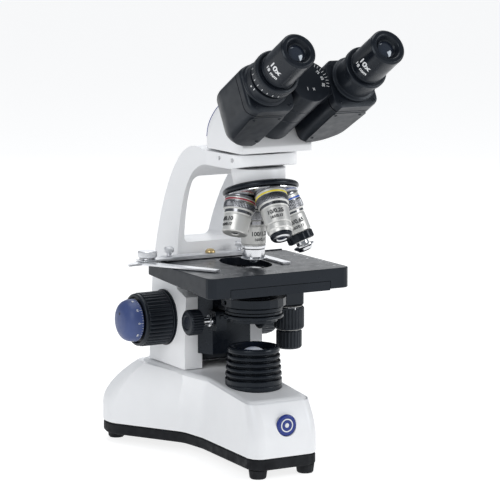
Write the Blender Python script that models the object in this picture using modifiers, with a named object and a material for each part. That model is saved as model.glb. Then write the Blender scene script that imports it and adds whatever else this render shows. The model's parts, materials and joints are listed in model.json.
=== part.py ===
"""Binocular biological microscope, modelled as the separate pieces it comes apart into.

Sizes in this file are millimetres, and the helper functions turn them into Blender's metres. +Z is up
and the user sits on the -Y side. Most pieces are placed from the optical axis, the vertical line through
the lamp, the condenser, the stage opening and the objective in use, with height counted from the table.
"""

from math import cos, pi, radians, sin, tan

import bmesh
import bpy
from mathutils import Matrix, Vector

MM = 0.001
GAP = 0.3  # clearance between pieces that touch

# The optical axis stands a little to the right and in front of the middle of the object's outline.
AXIS_PLACE = (6.4, -6.6, 0)

# Stand
SHELL_BOTTOM = 16.0
BASE_WALL = 3.5
BASE_FRONT_TOP = 60.3
COLUMN_FOOT = 69.1
# One half of the base's outline at the bottom and at the top, as corners (x, y, radius).
BASE_FOOT = [(30, -52.5, 11), (26, 36, 40), (29, 62, 24), (63.5, 120, 18), (63.5, 148.5, 20)]
BASE_TOP = [(27, -40.5, 8), (27.5, 26, 16), (37, 46, 6), (40, 100, 8), (36, 119, 8)]
BASE_FRONT_Y = BASE_FOOT[0][1]
WALL_RISE = 0.3  # share of the height before the wall starts to lean in
PLATE_BOTTOM = 7.0
FOOT_PLACES = {"front_left": (-20.7, -43.2), "front_right": (20.7, -43.2),
               "rear_left": (-49.1, 138.2), "rear_right": (49.1, 138.2)}
LAMP_TOP = 93.1
LAMP_RADIUS = 22.0
BADGE_PLACE = (0, BASE_FRONT_Y + 3.3, 40.0)

# Arm
COLUMN_HALF_WIDTH = 35.3
ARM_TOP_HALF_WIDTH = 30.0
COLUMN_FRONT_Y = 47.3
COLUMN_REAR_Y = 106.1
HEAD_SEAT = 243.5
SLOT_HALF_WIDTH = 19.3
SLOT_BACK_Y = 72.0
CLAMP_PLACES = ((1.5, 239.6), (-16.0, 239.4))

# Focus
FOCUS_Y = 82.2
FOCUS_Z = 105.4
COARSE_RADIUS = 21.2
COARSE_INNER = 35.0
COARSE_OUTER = 60.0
FINE_OUTER = 74.2
COARSE_SHAFT_RADIUS = 8.0
FINE_SHAFT_RADIUS = 4.0

# Stage
STAGE_TOP = 155.2
STAGE_HALF_WIDTH = 61.4
STAGE_FRONT_Y = -42.1
STAGE_BACK_Y = 60.0
SKIRT_FRONT = 139.6
SKIRT_BACK = 145.4
DECK_UNDERSIDE = 149.0
KNOB_STACK = (48.0, 28.0)
FINGER_PIVOT = (-66.0, 49.0)

# Condenser
CONDENSER_BOTTOM = 115.7
CONDENSER_TOP = 153.5
CONDENSER_KNOB_Y = 28.0
CONDENSER_KNOB_Z = 110.0
FILTER_PIVOT = (-17.0, 17.0)

# Nosepiece: four objectives on a cone whose rear one stands on the optical axis.
NOSE_TILT = radians(18.0)
NOSE_TURN = radians(-7.0)
SEAT_RADIUS = 17.4
SEAT_HEIGHT = 203.2
TURRET_RADIUS = 28.5

# Head: the eyepiece axes rise 30 degrees towards the user and meet the optical axis at PIVOT_Z.
EYEPIECE_ANGLE = radians(30.0)
PIVOT_Z = 254.6
HALF_PUPIL = 37.35
HEAD_FACE = 29.7
HEAD_FRONT_Y = -36.3
ARM_LOW, ARM_HIGH = 31.0, 95.0
ARM_HALF_DEPTH = 19.0
ARM_DROP = 2.3  # how far the folding arms hang below the tubes they carry
HUB_RADIUS = 16.4
TUBE_RADIUS = 15.5
RING_RADIUS = 17.5
EYEPIECE_BASE = 117.3
EYEPIECE_TOP = 150.6
EYEPIECE_RADIUS = 13.8
EYEPIECE_INSERT_RADIUS = 11.5


# ---------------------------------------------------------------- scene and materials

def clear_scene():
    for obj in list(bpy.data.objects):
        bpy.data.objects.remove(obj, do_unlink=True)


def make_collection(name):
    collection = bpy.data.collections.new(name)
    bpy.context.scene.collection.children.link(collection)
    return collection


def make_material(name, color, roughness, metallic=0.0):
    material = bpy.data.materials.new(name)
    material.use_nodes = True
    shader = material.node_tree.nodes["Principled BSDF"]
    shader.inputs["Base Color"].default_value = (*color, 1.0)
    shader.inputs["Roughness"].default_value = roughness
    shader.inputs["Metallic"].default_value = metallic
    material.diffuse_color = (*color, 1.0)
    return material


def make_materials():
    return {
        "white_paint": make_material("white_paint", (0.86, 0.87, 0.88), 0.38),
        "black_plastic": make_material("black_plastic", (0.028, 0.031, 0.038), 0.42),
        "black_metal": make_material("black_metal", (0.035, 0.038, 0.045), 0.34),
        "stage_black": make_material("stage_black", (0.05, 0.055, 0.063), 0.22),
        "blue_plastic": make_material("blue_plastic", (0.075, 0.105, 0.29), 0.36),
        "badge_blue": make_material("badge_blue", (0.014, 0.028, 0.24), 0.3),
        "chrome": make_material("chrome", (0.84, 0.84, 0.85), 0.12, 1.0),
        "satin_steel": make_material("satin_steel", (0.72, 0.73, 0.74), 0.3, 1.0),
        "brass": make_material("brass", (0.62, 0.44, 0.2), 0.3, 1.0),
        "rubber": make_material("rubber", (0.02, 0.021, 0.023), 0.75),
        "glass": make_material("glass", (0.82, 0.88, 0.92), 0.05),
    }


# ---------------------------------------------------------------- frames and objects

def make_frame(name, parent=None, place=(0, 0, 0), turn=(0, 0, 0)):
    """An empty that pieces are placed from."""
    frame = bpy.data.objects.new(name, None)
    frame.empty_display_size = 5 * MM
    frame.parent = parent
    frame.location = Vector(place) * MM
    frame.rotation_euler = turn
    scene_parts.objects.link(frame)
    return frame


def add_object(name, mesh, material, frame, place=(0, 0, 0), turn=(0, 0, 0)):
    obj = bpy.data.objects.new(name, mesh)
    obj.parent = frame
    obj.location = Vector(place) * MM
    obj.rotation_euler = turn
    if material:
        mesh.materials.append(materials[material])
    scene_parts.objects.link(obj)
    return obj


def add_cutter(name, mesh, frame, place=(0, 0, 0), turn=(0, 0, 0)):
    obj = add_object(name, mesh, None, frame, place, turn)
    scene_parts.objects.unlink(obj)
    scene_cutters.objects.link(obj)
    obj.hide_render = True
    obj.display_type = "WIRE"
    return obj


# ---------------------------------------------------------------- shapes

def mesh_from_bmesh(name, shape):
    mesh = bpy.data.meshes.new(name)
    shape.to_mesh(mesh)
    shape.free()
    return mesh


def box_mesh(low, high):
    """A box between two corners."""
    shape = bmesh.new()
    bmesh.ops.create_cube(shape, size=1.0)
    low, high = Vector(low) * MM, Vector(high) * MM
    for vertex in shape.verts:
        part = vertex.co + Vector((0.5, 0.5, 0.5))
        vertex.co = [low[i] + part[i] * (high[i] - low[i]) for i in range(3)]
    return mesh_from_bmesh("box", shape)


def cylinder_mesh(radius, low, high, axis="Z", steps=20):
    """A cylinder along one axis, between two places on it."""
    shape = bmesh.new()
    bmesh.ops.create_cone(shape, cap_ends=True, segments=steps, radius1=radius * MM,
                          radius2=radius * MM, depth=(high - low) * MM)
    bmesh.ops.translate(shape, vec=(0, 0, (low + high) / 2 * MM), verts=shape.verts)
    turns = {"X": Matrix.Rotation(pi / 2, 4, "Y"), "Y": Matrix.Rotation(-pi / 2, 4, "X"),
             "Z": Matrix.Identity(4)}
    bmesh.ops.transform(shape, matrix=turns[axis], verts=shape.verts)
    return mesh_from_bmesh("cylinder", shape)


def outline_mesh(outline, low, high, axis="Z"):
    """A flat outline, given in the two axes after `axis` in X, Y, Z order, made thick along it."""
    curve = bpy.data.curves.new("outline", "CURVE")
    curve.dimensions = "2D"
    curve.fill_mode = "BOTH"
    curve.extrude = (high - low) / 2 * MM
    spline = curve.splines.new("POLY")
    spline.points.add(len(outline) - 1)
    for point, (x, y) in zip(spline.points, outline):
        point.co = (x * MM, y * MM, 0, 1)
    spline.use_cyclic_u = True
    holder = bpy.data.objects.new("outline", curve)
    bpy.context.scene.collection.objects.link(holder)
    graph = bpy.context.evaluated_depsgraph_get()
    mesh = bpy.data.meshes.new_from_object(holder.evaluated_get(graph))
    bpy.data.objects.remove(holder)
    shape = bmesh.new()
    shape.from_mesh(mesh)
    bmesh.ops.remove_doubles(shape, verts=shape.verts, dist=1e-6)
    bmesh.ops.translate(shape, vec=(0, 0, (low + high) / 2 * MM), verts=shape.verts)
    if axis == "X":
        bmesh.ops.transform(shape, matrix=Matrix(((0, 0, 1, 0), (1, 0, 0, 0), (0, 1, 0, 0), (0, 0, 0, 1))),
                            verts=shape.verts)
    bmesh.ops.recalc_face_normals(shape, faces=shape.faces)
    return mesh_from_bmesh("outline", shape)


def loft_mesh(sections):
    """A closed solid through a stack of rings that hold equally many points."""
    shape = bmesh.new()
    rings = [[shape.verts.new(Vector(point) * MM) for point in section] for section in sections]
    count = len(sections[0])
    for lower, upper in zip(rings, rings[1:]):
        for i in range(count):
            following = (i + 1) % count
            shape.faces.new((lower[i], lower[following], upper[following], upper[i]))
    shape.faces.new(list(reversed(rings[0])))
    shape.faces.new(rings[-1])
    bmesh.ops.recalc_face_normals(shape, faces=shape.faces)
    return mesh_from_bmesh("loft", shape)


def rounded(corners, steps=4):
    """The outline through corners (x, y, radius), with an arc at each corner that has a radius."""
    outline = []
    count = len(corners)
    for i, (x, y, radius) in enumerate(corners):
        corner = Vector((x, y))
        if radius == 0:
            outline.append((x, y))
            continue
        before = (Vector(corners[i - 1][:2]) - corner).normalized()
        after = (Vector(corners[(i + 1) % count][:2]) - corner).normalized()
        half_angle = before.angle(after) / 2
        middle = (before + after).normalized()
        centre = corner + middle * (radius / sin(half_angle))
        start = centre.copy() - corner
        start = before * start.dot(before) + corner - centre
        end = after * (centre - corner).dot(after) + corner - centre
        sweep = start.angle_signed(end)
        for k in range(steps + 1):
            spot = centre + Matrix.Rotation(-sweep * k / steps, 2) @ start
            outline.append((spot.x, spot.y))
    return outline


def bezier(start, pull_start, pull_end, end, steps=8):
    """Points along a cubic curve, without its first point."""
    points = []
    for k in range(1, steps + 1):
        t = k / steps
        s = 1 - t
        points.append(tuple(s ** 3 * a + 3 * s * s * t * b + 3 * s * t * t * c + t ** 3 * d
                            for a, b, c, d in zip(start, pull_start, pull_end, end)))
    return points


def profile_mesh(profile, closed):
    mesh = bpy.data.meshes.new("profile")
    edges = [(i, i + 1) for i in range(len(profile) - 1)]
    if closed:
        edges.append((len(profile) - 1, 0))
    mesh.from_pydata([(r * MM, 0, z * MM) for r, z in profile], edges, [])
    return mesh


def add_turned(name, profile, material, frame, place=(0, 0, 0), turn=(0, 0, 0), steps=20, closed=False):
    """A turned piece from its (radius, height) profile, which runs down the outer side."""
    obj = add_object(name, profile_mesh(profile, closed), material, frame, place, turn)
    screw = obj.modifiers.new("turn", "SCREW")
    screw.steps = screw.render_steps = steps
    screw.use_merge_vertices = True
    screw.merge_threshold = 1e-6
    screw.use_smooth_shade = True
    return obj


def add_bevel(obj, width, segments=2, angle=40):
    bevel = obj.modifiers.new("bevel", "BEVEL")
    bevel.width = width * MM
    bevel.segments = segments
    bevel.limit_method = "ANGLE"
    bevel.angle_limit = radians(angle)
    return obj


def add_boolean(obj, other, operation):
    boolean = obj.modifiers.new(operation.lower(), "BOOLEAN")
    boolean.operation = operation
    boolean.solver = "EXACT"
    boolean.object = other


def cut(obj, name, mesh, frame, place=(0, 0, 0), turn=(0, 0, 0)):
    cutter = add_cutter(name, mesh, frame, place, turn)
    add_boolean(obj, cutter, "DIFFERENCE")
    return cutter


def join(obj, name, mesh, frame, place=(0, 0, 0), turn=(0, 0, 0)):
    add_boolean(obj, add_cutter(name, mesh, frame, place, turn), "UNION")


# ---------------------------------------------------------------- base

def base_outline(share, inset=0.0):
    """The base seen from above, at a share of its height: a narrow front, a waist and a wide rear."""
    lean = max(0.0, (share - WALL_RISE) / (1 - WALL_RISE)) ** 1.7
    half = []
    for i, (low, high) in enumerate(zip(BASE_FOOT, BASE_TOP)):
        x, y, radius = [a + (b - a) * lean for a, b in zip(low, high)]
        y += inset if i == 0 else (-inset if i == len(BASE_FOOT) - 1 else 0)
        hollow_corner = i in (1, 2)
        radius = radius + inset if hollow_corner else max(radius - inset, 3)
        half.append((x - inset, y, radius))
    mirrored = [(-x, y, radius) for x, y, radius in reversed(half)]
    return rounded(half + mirrored, steps=3)


def base_top_height(y):
    """The top rises from the front to the column's foot and is level behind it."""
    share = min(max((y + 22) / (COLUMN_FRONT_Y + 22), -0.3), 1)
    return BASE_FRONT_TOP + (COLUMN_FOOT - GAP - BASE_FRONT_TOP) * share


def base_ring(share, inset=0.0, drop=0.0):
    """The base's outline at a share of its height, as points on its surface."""
    ring = []
    for x, y in base_outline(share, inset):
        ring.append((x, y, SHELL_BOTTOM + (base_top_height(y) - SHELL_BOTTOM) * share - drop))
    return ring


def build_base():
    levels = (0, 0.3, 0.55, 0.75, 0.9, 1)
    shell = add_object("base_shell", loft_mesh([base_ring(share) for share in levels]), "white_paint", axis)
    hollow = [base_ring(0, BASE_WALL, 1), base_ring(0.5, BASE_WALL, 3), base_ring(0.8, BASE_WALL, 4),
              base_ring(1, BASE_WALL, 4.5)]
    cut(shell, "base_hollow", loft_mesh(hollow), axis)
    cut(shell, "lamp_recess", cylinder_mesh(LAMP_RADIUS + 0.4, BASE_FRONT_TOP - 0.3, 80), axis)
    cut(shell, "wire_hole", cylinder_mesh(4, 50, 62, steps=16), axis)
    cut(shell, "inlet_hole", box_mesh((7.6, 129, 24.6), (36.4, 152, 45.4)), axis)
    cut(shell, "switch_hole", box_mesh((-30.4, 129, 26.6), (-13.6, 152, 43.4)), axis)
    cut(shell, "badge_recess", cylinder_mesh(8.6, -9, GAP, axis="Y", steps=24), axis, BADGE_PLACE)
    plate = add_object("base_plate", outline_mesh(base_outline(0, 0.4), PLATE_BOTTOM, SHELL_BOTTOM - GAP),
                       "black_plastic", axis)
    add_bevel(plate, 1.6, angle=60)
    for corner, (x, y) in FOOT_PLACES.items():
        foot = [(0, PLATE_BOTTOM - GAP), (7.2, PLATE_BOTTOM - GAP), (6.4, 0.8), (5.6, 0), (0, 0)]
        add_turned("foot_" + corner, foot, "rubber", axis, (x, y, 0), steps=14)


def build_badge():
    disc = [(0, 2.3), (7.4, 2.3), (8.3, 1.6), (8.3, 0), (0, 0)]
    add_turned("front_badge", disc, "badge_blue", axis, BADGE_PLACE, (pi / 2, 0, 0), steps=24)


def build_power():
    inlet = add_object("power_inlet", box_mesh((8, 130, 25), (36, 150, 45)), "black_plastic", axis)
    add_bevel(inlet, 1.0, 1)
    cut(inlet, "inlet_socket", box_mesh((11, 136, 28), (33, 152, 42)), axis)
    switch = add_object("power_switch", box_mesh((-8, -5, -7.4), (8, 4.2, 7.4)), "black_plastic", axis,
                        (-22, 145, 35), (radians(-6), 0, 0))
    add_bevel(switch, 1.2, 2)
    wheel = [(0, PLATE_BOTTOM - GAP), (10.4, PLATE_BOTTOM - GAP), (10.4, 4.4), (9.8, 3.8), (0, 3.8)]
    add_turned("dimmer_wheel", wheel, "black_plastic", axis, (-25, 110, 0), steps=24)


def build_lamp():
    fins = []
    fin_count = 5
    pitch = 4.6
    for i in range(fin_count):
        top = LAMP_TOP - 2.4 - i * pitch
        radius = 19.8 + 0.4 * i
        fins += [(radius, top), (radius, top - 2.2), (radius - 2.4, top - 2.9), (radius - 2.4, top - 4.2)]
    outer = [(17.9, LAMP_TOP), (19.2, LAMP_TOP - 0.6)] + fins + [(LAMP_RADIUS, 68.4), (LAMP_RADIUS, 60.3)]
    inner = [(8.0, 60.3), (8.0, 83.6), (9.0, 84.0), (9.0, 88.2), (10.2, 88.6), (16.9, LAMP_TOP - 0.4)]
    add_turned("lamp_collar", outer + inner, "black_metal", axis, closed=True)
    add_turned("field_lens", [(0, 89.6), (5.5, 89.0), (8.7, 87.4), (8.7, 84.4), (0, 84.4)], "glass", axis,
               steps=24)


# ---------------------------------------------------------------- arm

def arm_outline():
    """The arm from the side, as (y, z): column, curved limb and head plate."""
    outline = [(COLUMN_FRONT_Y, COLUMN_FOOT), (COLUMN_REAR_Y, COLUMN_FOOT), (104.2, 134)]
    outline += bezier((104.2, 134), (98, 188), (74, 245.2), (38, 245.2), 10)
    outline += [(31, 245.0), (25, HEAD_SEAT), (-26.3, HEAD_SEAT), (-26.3, 235.4), (-13, 232.6), (20, 232.6)]
    outline += bezier((20, 232.6), (50, 231), (61, 200), (62.6, 158), 8)
    outline += [(62.6, 131), (COLUMN_FRONT_Y, 126)]
    return outline


def taper_arm(mesh):
    """Narrows the limb evenly towards the head plate."""
    for vertex in mesh.vertices:
        share = (vertex.co.z / MM - COLUMN_FOOT) / (HEAD_SEAT - COLUMN_FOOT)
        half = COLUMN_HALF_WIDTH + (ARM_TOP_HALF_WIDTH - COLUMN_HALF_WIDTH) * share
        vertex.co.x *= half / COLUMN_HALF_WIDTH


def hand_opening_mesh():
    """The gap between the two legs, whose inner faces spread towards the front."""
    sections = []
    for y, half in ((118, 6), (64, 27), (5, 27)):
        ring = rounded([(-half, 167, 4), (half, 167, 4), (half, 221, 5), (-half, 221, 5)], steps=3)
        sections.append([(x, y, z) for x, z in ring])
    return loft_mesh(sections)


def build_arm():
    mesh = outline_mesh(arm_outline(), -COLUMN_HALF_WIDTH, COLUMN_HALF_WIDTH, axis="X")
    taper_arm(mesh)
    arm = add_object("arm", mesh, "white_paint", axis)
    plan = rounded([(-27.5, -26.3, 13), (27.5, -26.3, 13), (30, 20, 40), (37, 60, 40), (37, 110, 0),
                    (-37, 110, 0), (-37, 60, 40), (-30, 20, 40)], steps=5)
    add_boolean(arm, add_cutter("arm_plan", outline_mesh(plan, 60, 260), axis), "INTERSECT")
    add_bevel(arm, 2.4, 2, 60)
    for y, z in CLAMP_PLACES:
        cut(arm, "clamp_hole", cylinder_mesh(2.3, -40, -23, axis="X", steps=12), axis, (0, y, z))
    cut(arm, "hand_opening", hand_opening_mesh(), axis)
    cut(arm, "slot", box_mesh((-SLOT_HALF_WIDTH, 30, COLUMN_FOOT - 3), (SLOT_HALF_WIDTH, SLOT_BACK_Y, 150)), axis)
    cut(arm, "shaft_hole", cylinder_mesh(COARSE_SHAFT_RADIUS + 0.4, -50, 50, axis="X", steps=20), axis,
        (0, FOCUS_Y, FOCUS_Z))
    cut(arm, "light_hole", cylinder_mesh(12, 220, 250, steps=20), axis)
    guide = add_object("focus_guide", box_mesh((-11, 62, 72), (11, SLOT_BACK_Y - GAP, 147)), "black_metal", axis)
    add_bevel(guide, 1.0, 1)


def build_clamp_screws():
    for name, (y, z) in zip(("head_clamp_screw_rear", "head_clamp_screw_front"), CLAMP_PLACES):
        screw = [(0, -1.6), (1.0, 0), (2.0, 0), (2.0, -5.5), (0, -5.5)]
        add_turned(name, screw, "black_metal", axis, (-29.3, y, z), (0, -pi / 2, 0), steps=12)


# ---------------------------------------------------------------- focus

def coarse_knob_profile(inner, outer, bore):
    """A slightly conical knob with a recess for the fine knob, along +Z from the column outwards."""
    return [(18.6, outer), (19.4, outer - 1.0), (19.6, outer - 3.4), (20.2, outer - 4.0),
            (COARSE_RADIUS, inner + 1.6), (COARSE_RADIUS - 1.2, inner), (bore, inner), (bore, outer)]


def build_focus_knobs():
    for side, sign in (("left", -1), ("right", 1)):
        turn = (0, sign * pi / 2, 0)
        place = (0, FOCUS_Y, FOCUS_Z)
        bore = FINE_SHAFT_RADIUS + 0.3 if side == "left" else COARSE_SHAFT_RADIUS + GAP
        knob = add_turned("coarse_knob_" + side, coarse_knob_profile(COARSE_INNER, COARSE_OUTER, bore),
                          "black_plastic", axis, place, turn, closed=True)
        if side == "left":
            shaft = shaft_tube(-(COARSE_OUTER - 6), COARSE_INNER + 2)
            join(knob, "coarse_shaft", shaft, axis, place)
        inner = COARSE_OUTER + GAP
        dome = [(0, FINE_OUTER), (8, FINE_OUTER - 0.5), (13.4, FINE_OUTER - 2.2), (16.0, FINE_OUTER - 5.0),
                (16.8, inner + 2), (16.8, inner), (0, inner)]
        fine = add_turned("fine_knob_" + side, dome, "blue_plastic", axis, place, turn)
        if side == "left":
            reach = COARSE_OUTER - 2
            join(fine, "fine_shaft", cylinder_mesh(FINE_SHAFT_RADIUS, -inner - 2, reach, axis="X", steps=16),
                 axis, place)


def shaft_tube(low, high):
    """The hollow coarse shaft along X, which the fine shaft runs through."""
    ring = []
    steps = 16
    shape = bmesh.new()
    for radius in (COARSE_SHAFT_RADIUS, FINE_SHAFT_RADIUS + 0.3):
        for x in (low, high):
            ring.append([shape.verts.new((x * MM, radius * MM * cos(2 * pi * i / steps),
                                          radius * MM * sin(2 * pi * i / steps))) for i in range(steps)])
    for a, b in ((0, 1), (1, 3), (3, 2), (2, 0)):
        for i in range(steps):
            k = (i + 1) % steps
            shape.faces.new((ring[a][i], ring[a][k], ring[b][k], ring[b][i]))
    bmesh.ops.recalc_face_normals(shape, faces=shape.faces)
    return mesh_from_bmesh("tube", shape)


def build_bracket():
    slide = add_object("focus_slide", box_mesh((-16, 52, 84), (16, 62 - GAP, 134)), "black_metal", axis)
    add_bevel(slide, 1.0, 1)
    plan = [(-23.5, 46.5), (-16.7, 34.8), (16.7, 34.8), (23.5, 46.5)]
    bracket = add_object("stage_bracket", outline_mesh(plan, 81.5, 142.4), "black_metal", axis)
    join(bracket, "bracket_neck", box_mesh((-15, 45, 88), (15, 52 - GAP, 124)), axis)
    join(bracket, "pinion_lug", box_mesh((-19.5, 24, 102), (-10, 36, 117)), axis)
    cut(bracket, "pinion_hole", cylinder_mesh(3.3, -30, 0, axis="X", steps=16), axis,
        (0, CONDENSER_KNOB_Y, CONDENSER_KNOB_Z))


# ---------------------------------------------------------------- stage

def light_opening_mesh():
    """The long oval opening in the stage deck."""
    steps = 24
    oval = [(2 + 17 * cos(2 * pi * i / steps), 16 + 29 * sin(2 * pi * i / steps)) for i in range(steps)]
    return outline_mesh(oval, 140, 160)


def slope_skirt(mesh):
    """Raises the stage's lower edge towards the back."""
    for vertex in mesh.vertices:
        if vertex.co.z < (STAGE_TOP - 5) * MM:
            share = (vertex.co.y / MM - STAGE_FRONT_Y) / (STAGE_BACK_Y - STAGE_FRONT_Y)
            vertex.co.z += (SKIRT_BACK - SKIRT_FRONT) * share * MM


def build_stage():
    half = STAGE_HALF_WIDTH
    plan = rounded([(-half, STAGE_FRONT_Y, 6), (half, STAGE_FRONT_Y, 6), (half, STAGE_BACK_Y, 5),
                    (-half, STAGE_BACK_Y, 5)], steps=4)
    mesh = outline_mesh(plan, SKIRT_FRONT, STAGE_TOP)
    slope_skirt(mesh)
    stage = add_object("stage_plate", mesh, "stage_black", axis)
    add_bevel(stage, 0.8, 1, 50)
    cut(stage, "stage_underside", box_mesh((-54, STAGE_FRONT_Y + 5, 130), (54, STAGE_BACK_Y + 3, DECK_UNDERSIDE)), axis)
    cut(stage, "front_notch", box_mesh((-43.6, STAGE_FRONT_Y - 4, 130), (43.6, STAGE_FRONT_Y + 6, 145.9)), axis)
    cut(stage, "light_opening", light_opening_mesh(), axis)
    cut(stage, "knob_bore", cylinder_mesh(3.0, 140, 152, steps=12), axis, (*KNOB_STACK, 0))
    lower = add_object("lower_stage_plate", box_mesh((-40, -36.8, 142.7), (40, 46.5, 148.6)), "black_metal", axis)
    join(lower, "front_bar", box_mesh((-43.2, STAGE_FRONT_Y, 138.6), (43.2, -36.5, 145.5)), axis)
    cut(lower, "condenser_opening", cylinder_mesh(27, 130, 155), axis)


def build_slide_holder():
    bar = add_object("slide_holder", box_mesh((-50, 47.5, 155.6), (29, 58, 158.8)), "satin_steel", axis)
    add_bevel(bar, 0.4, 1)
    join(bar, "fixed_finger", box_mesh((22, -7, 155.5), (29, 49, 156.9)), axis)
    join(bar, "end_plate", box_mesh((-73, 43, 157.4), (-46, 55, 158.6)), axis)
    cut(bar, "pivot_bore", cylinder_mesh(2.3, 154, 160, steps=12), axis, (*FINGER_PIVOT, 0))
    for side, x in (("left", -45.0), ("right", 18.0)):
        screw = [(0, 166), (3.4, 166), (3.9, 165.4), (3.9, 161.6), (2.2, 161.2), (2.2, 159.1), (0, 159.1)]
        add_turned("thumb_screw_" + side, screw, "satin_steel", axis, (x, 53.2, 0), steps=20)
    stop = [(0, 162.2), (2.6, 161.6), (4.0, 159.8), (4.0, 159.1), (0, 159.1)]
    add_turned("holder_stop_screw", stop, "brass", axis, (-9, 52.6, 0), steps=20)


def build_finger():
    """The sprung left-hand finger turns on its own pivot at the end of the holder."""
    x, y = FINGER_PIVOT
    outline = [(4, 5), (-6, 5), (-20, -6), (-21, -10), (-9, -9), (23.5, -66), (29.5, -62), (2, -9), (8, -3)]
    finger = add_object("slide_finger", outline_mesh(outline, 155.7, 157.1), "satin_steel", axis, (x, y, 0))
    join(finger, "pivot_pin", cylinder_mesh(2.0, 156, 158.6, steps=12), axis, (x, y, 0))
    knob = [(0, 165.2), (6.4, 165.2), (7.5, 164.4), (7.5, 160.2), (6.6, 158.9), (0, 158.9)]
    add_turned("finger_knob", knob, "satin_steel", axis, (x, y, 0), steps=24)


def build_stage_knobs():
    block = add_object("stage_knob_block", box_mesh((-9, -9, 116.4), (9, 9, 137)), "black_plastic", axis,
                       (*KNOB_STACK, 0))
    add_bevel(block, 1.5, 1)
    join(block, "knob_post", cylinder_mesh(2.6, 130, 148.7, steps=12), axis, (*KNOB_STACK, 0))
    upper = [(3, 116.0), (11.2, 116.0), (12, 115.2), (12, 98.6), (11.2, 97.8), (3, 97.8)]
    add_turned("stage_y_knob", upper, "black_plastic", axis, (*KNOB_STACK, 0), closed=True)
    lower = [(0, 100), (2.6, 100), (2.6, 97.4), (9.6, 97.4), (10.2, 96.6), (10.2, 83.2), (9.2, 82.2), (0, 82.2)]
    add_turned("stage_x_knob", lower, "black_plastic", axis, (*KNOB_STACK, 0))


# ---------------------------------------------------------------- condenser

def build_condenser():
    body = [(9.2, CONDENSER_TOP), (10, 152.6), (10, 147.5), (12, 146.5), (12, 134), (19, 132.5), (19, 125),
            (22.6, 124.6), (22.6, 121.4), (20.2, 121.1), (20.2, 118.9), (23.2, 118.6), (23.2, 116.4),
            (22.4, CONDENSER_BOTTOM), (15, CONDENSER_BOTTOM), (15, 120), (7.5, 132), (7.5, 150), (8.4, 150.4),
            (8.4, CONDENSER_TOP)]
    add_turned("condenser_body", body, "black_metal", axis, closed=True)
    add_turned("condenser_lens", [(0, 154.4), (5, 153.9), (8.1, 152.8), (8.1, 150.8), (0, 150.8)], "glass", axis,
               steps=20)
    holder_ring = [(25, 131.6), (25, 125.4), (19.3, 125.4), (19.3, 131.6)]
    holder = add_turned("condenser_holder", holder_ring, "black_metal", axis, closed=True)
    join(holder, "holder_arm", box_mesh((-9, 23.1, 121), (9, 34.5, 138)), axis)
    cut(holder, "clamp_bore", cylinder_mesh(1.9, -30, -18, axis="X", steps=12), axis, (0, 0, 128.4))
    screw = [(0, 31), (2.8, 31), (3.4, 30.4), (3.4, 25.6), (1.6, 25.6), (1.6, 19.7), (0, 19.7)]
    add_turned("condenser_clamp_screw", screw, "brass", axis, (0, 0, 128.4), (0, -pi / 2, 0), steps=16)
    lever = add_turned("iris_lever", [(22, 120.8), (22, 119.2), (20.6, 119.2), (20.6, 120.8)], "satin_steel",
                       axis, closed=True)
    join(lever, "lever_bar", box_mesh((21.2, -1.6, 119.3), (33, 1.6, 120.7)), axis, turn=(0, 0, radians(-12)))
    ring = [(18.5, 115.3), (18.5, 112.9), (14.6, 112.9), (14.6, 113.7), (16.4, 113.7), (16.4, 115.3)]
    holder_frame = (FILTER_PIVOT[0], FILTER_PIVOT[1], 0)
    filter_ring = add_turned("filter_holder", ring, "black_metal", axis, closed=True)
    join(filter_ring, "filter_hinge", cylinder_mesh(3.2, 112.9, 115.2, steps=16), axis, holder_frame)
    join(filter_ring, "filter_link", box_mesh((-17.5, 9, 113), (-11, 17, 115.1)), axis)
    left_knob = [(0, 43.5), (6, 43.5), (9, 42.8), (10, 41.4), (10, 33), (9, 32), (2.8, 32)]
    right_knob = [(2.8, -19.4), (9, -19.4), (10, -20.4), (10, -28.8), (9, -30.2), (6, -30.8), (0, -30.8)]
    add_turned("condenser_knob", left_knob + right_knob, "black_plastic", axis,
               (0, CONDENSER_KNOB_Y, CONDENSER_KNOB_Z), (0, -pi / 2, 0), steps=24)


# ---------------------------------------------------------------- nosepiece

def nosepiece_frame():
    reach = SEAT_RADIUS * cos(NOSE_TILT)
    place = Matrix.Rotation(NOSE_TURN, 3, "Z") @ Vector((0, -reach, SEAT_HEIGHT + SEAT_RADIUS * sin(NOSE_TILT)))
    return make_frame("nosepiece_frame", axis, place, (-NOSE_TILT, 0, NOSE_TURN))


def objective_frame(nose, name, quarter):
    """Frame of one objective: its local Z points up the objective's own axis, from the seat."""
    angle = quarter * pi / 2
    place = (-SEAT_RADIUS * sin(angle), SEAT_RADIUS * cos(angle), 0)
    frame = make_frame(name + "_frame", nose, place)
    frame.rotation_euler = (Matrix.Rotation(angle, 3, "Z") @ Matrix.Rotation(NOSE_TILT, 3, "X")).to_euler()
    return frame


def build_nosepiece(nose):
    mount = add_turned("nosepiece_mount", [(0, 36), (21.5, 36), (20.5, 20), (19.5, 11.2), (0, 11.2)], "white_paint", nose)
    cut(mount, "mount_top", box_mesh((-60, -60, 232.2), (60, 60, 270)), axis)
    cut(mount, "mount_bore", cylinder_mesh(8, 200, 250, steps=16), axis)
    disc = add_turned("nosepiece_disc", [(0, 10.9), (25.5, 10.9), (28.5, 9.4), (29.2, 7.2), (28.4, 5.8), (0, 5.8)],
                      "black_metal", nose, steps=28)
    cut(disc, "disc_bore", cylinder_mesh(8, 190, 250, steps=16), axis)
    slope = tan(NOSE_TILT)
    body = [(0, 5.5), (27.6, 5.5), (TURRET_RADIUS, 4.8)]
    body += [(radius, (radius - SEAT_RADIUS) * slope + 0.5) for radius in (TURRET_RADIUS, 0)]
    turret = add_turned("turret", body, "chrome", nose, steps=24)
    return turret


OBJECTIVES = ("100x", "4x", "10x", "40x")

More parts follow.
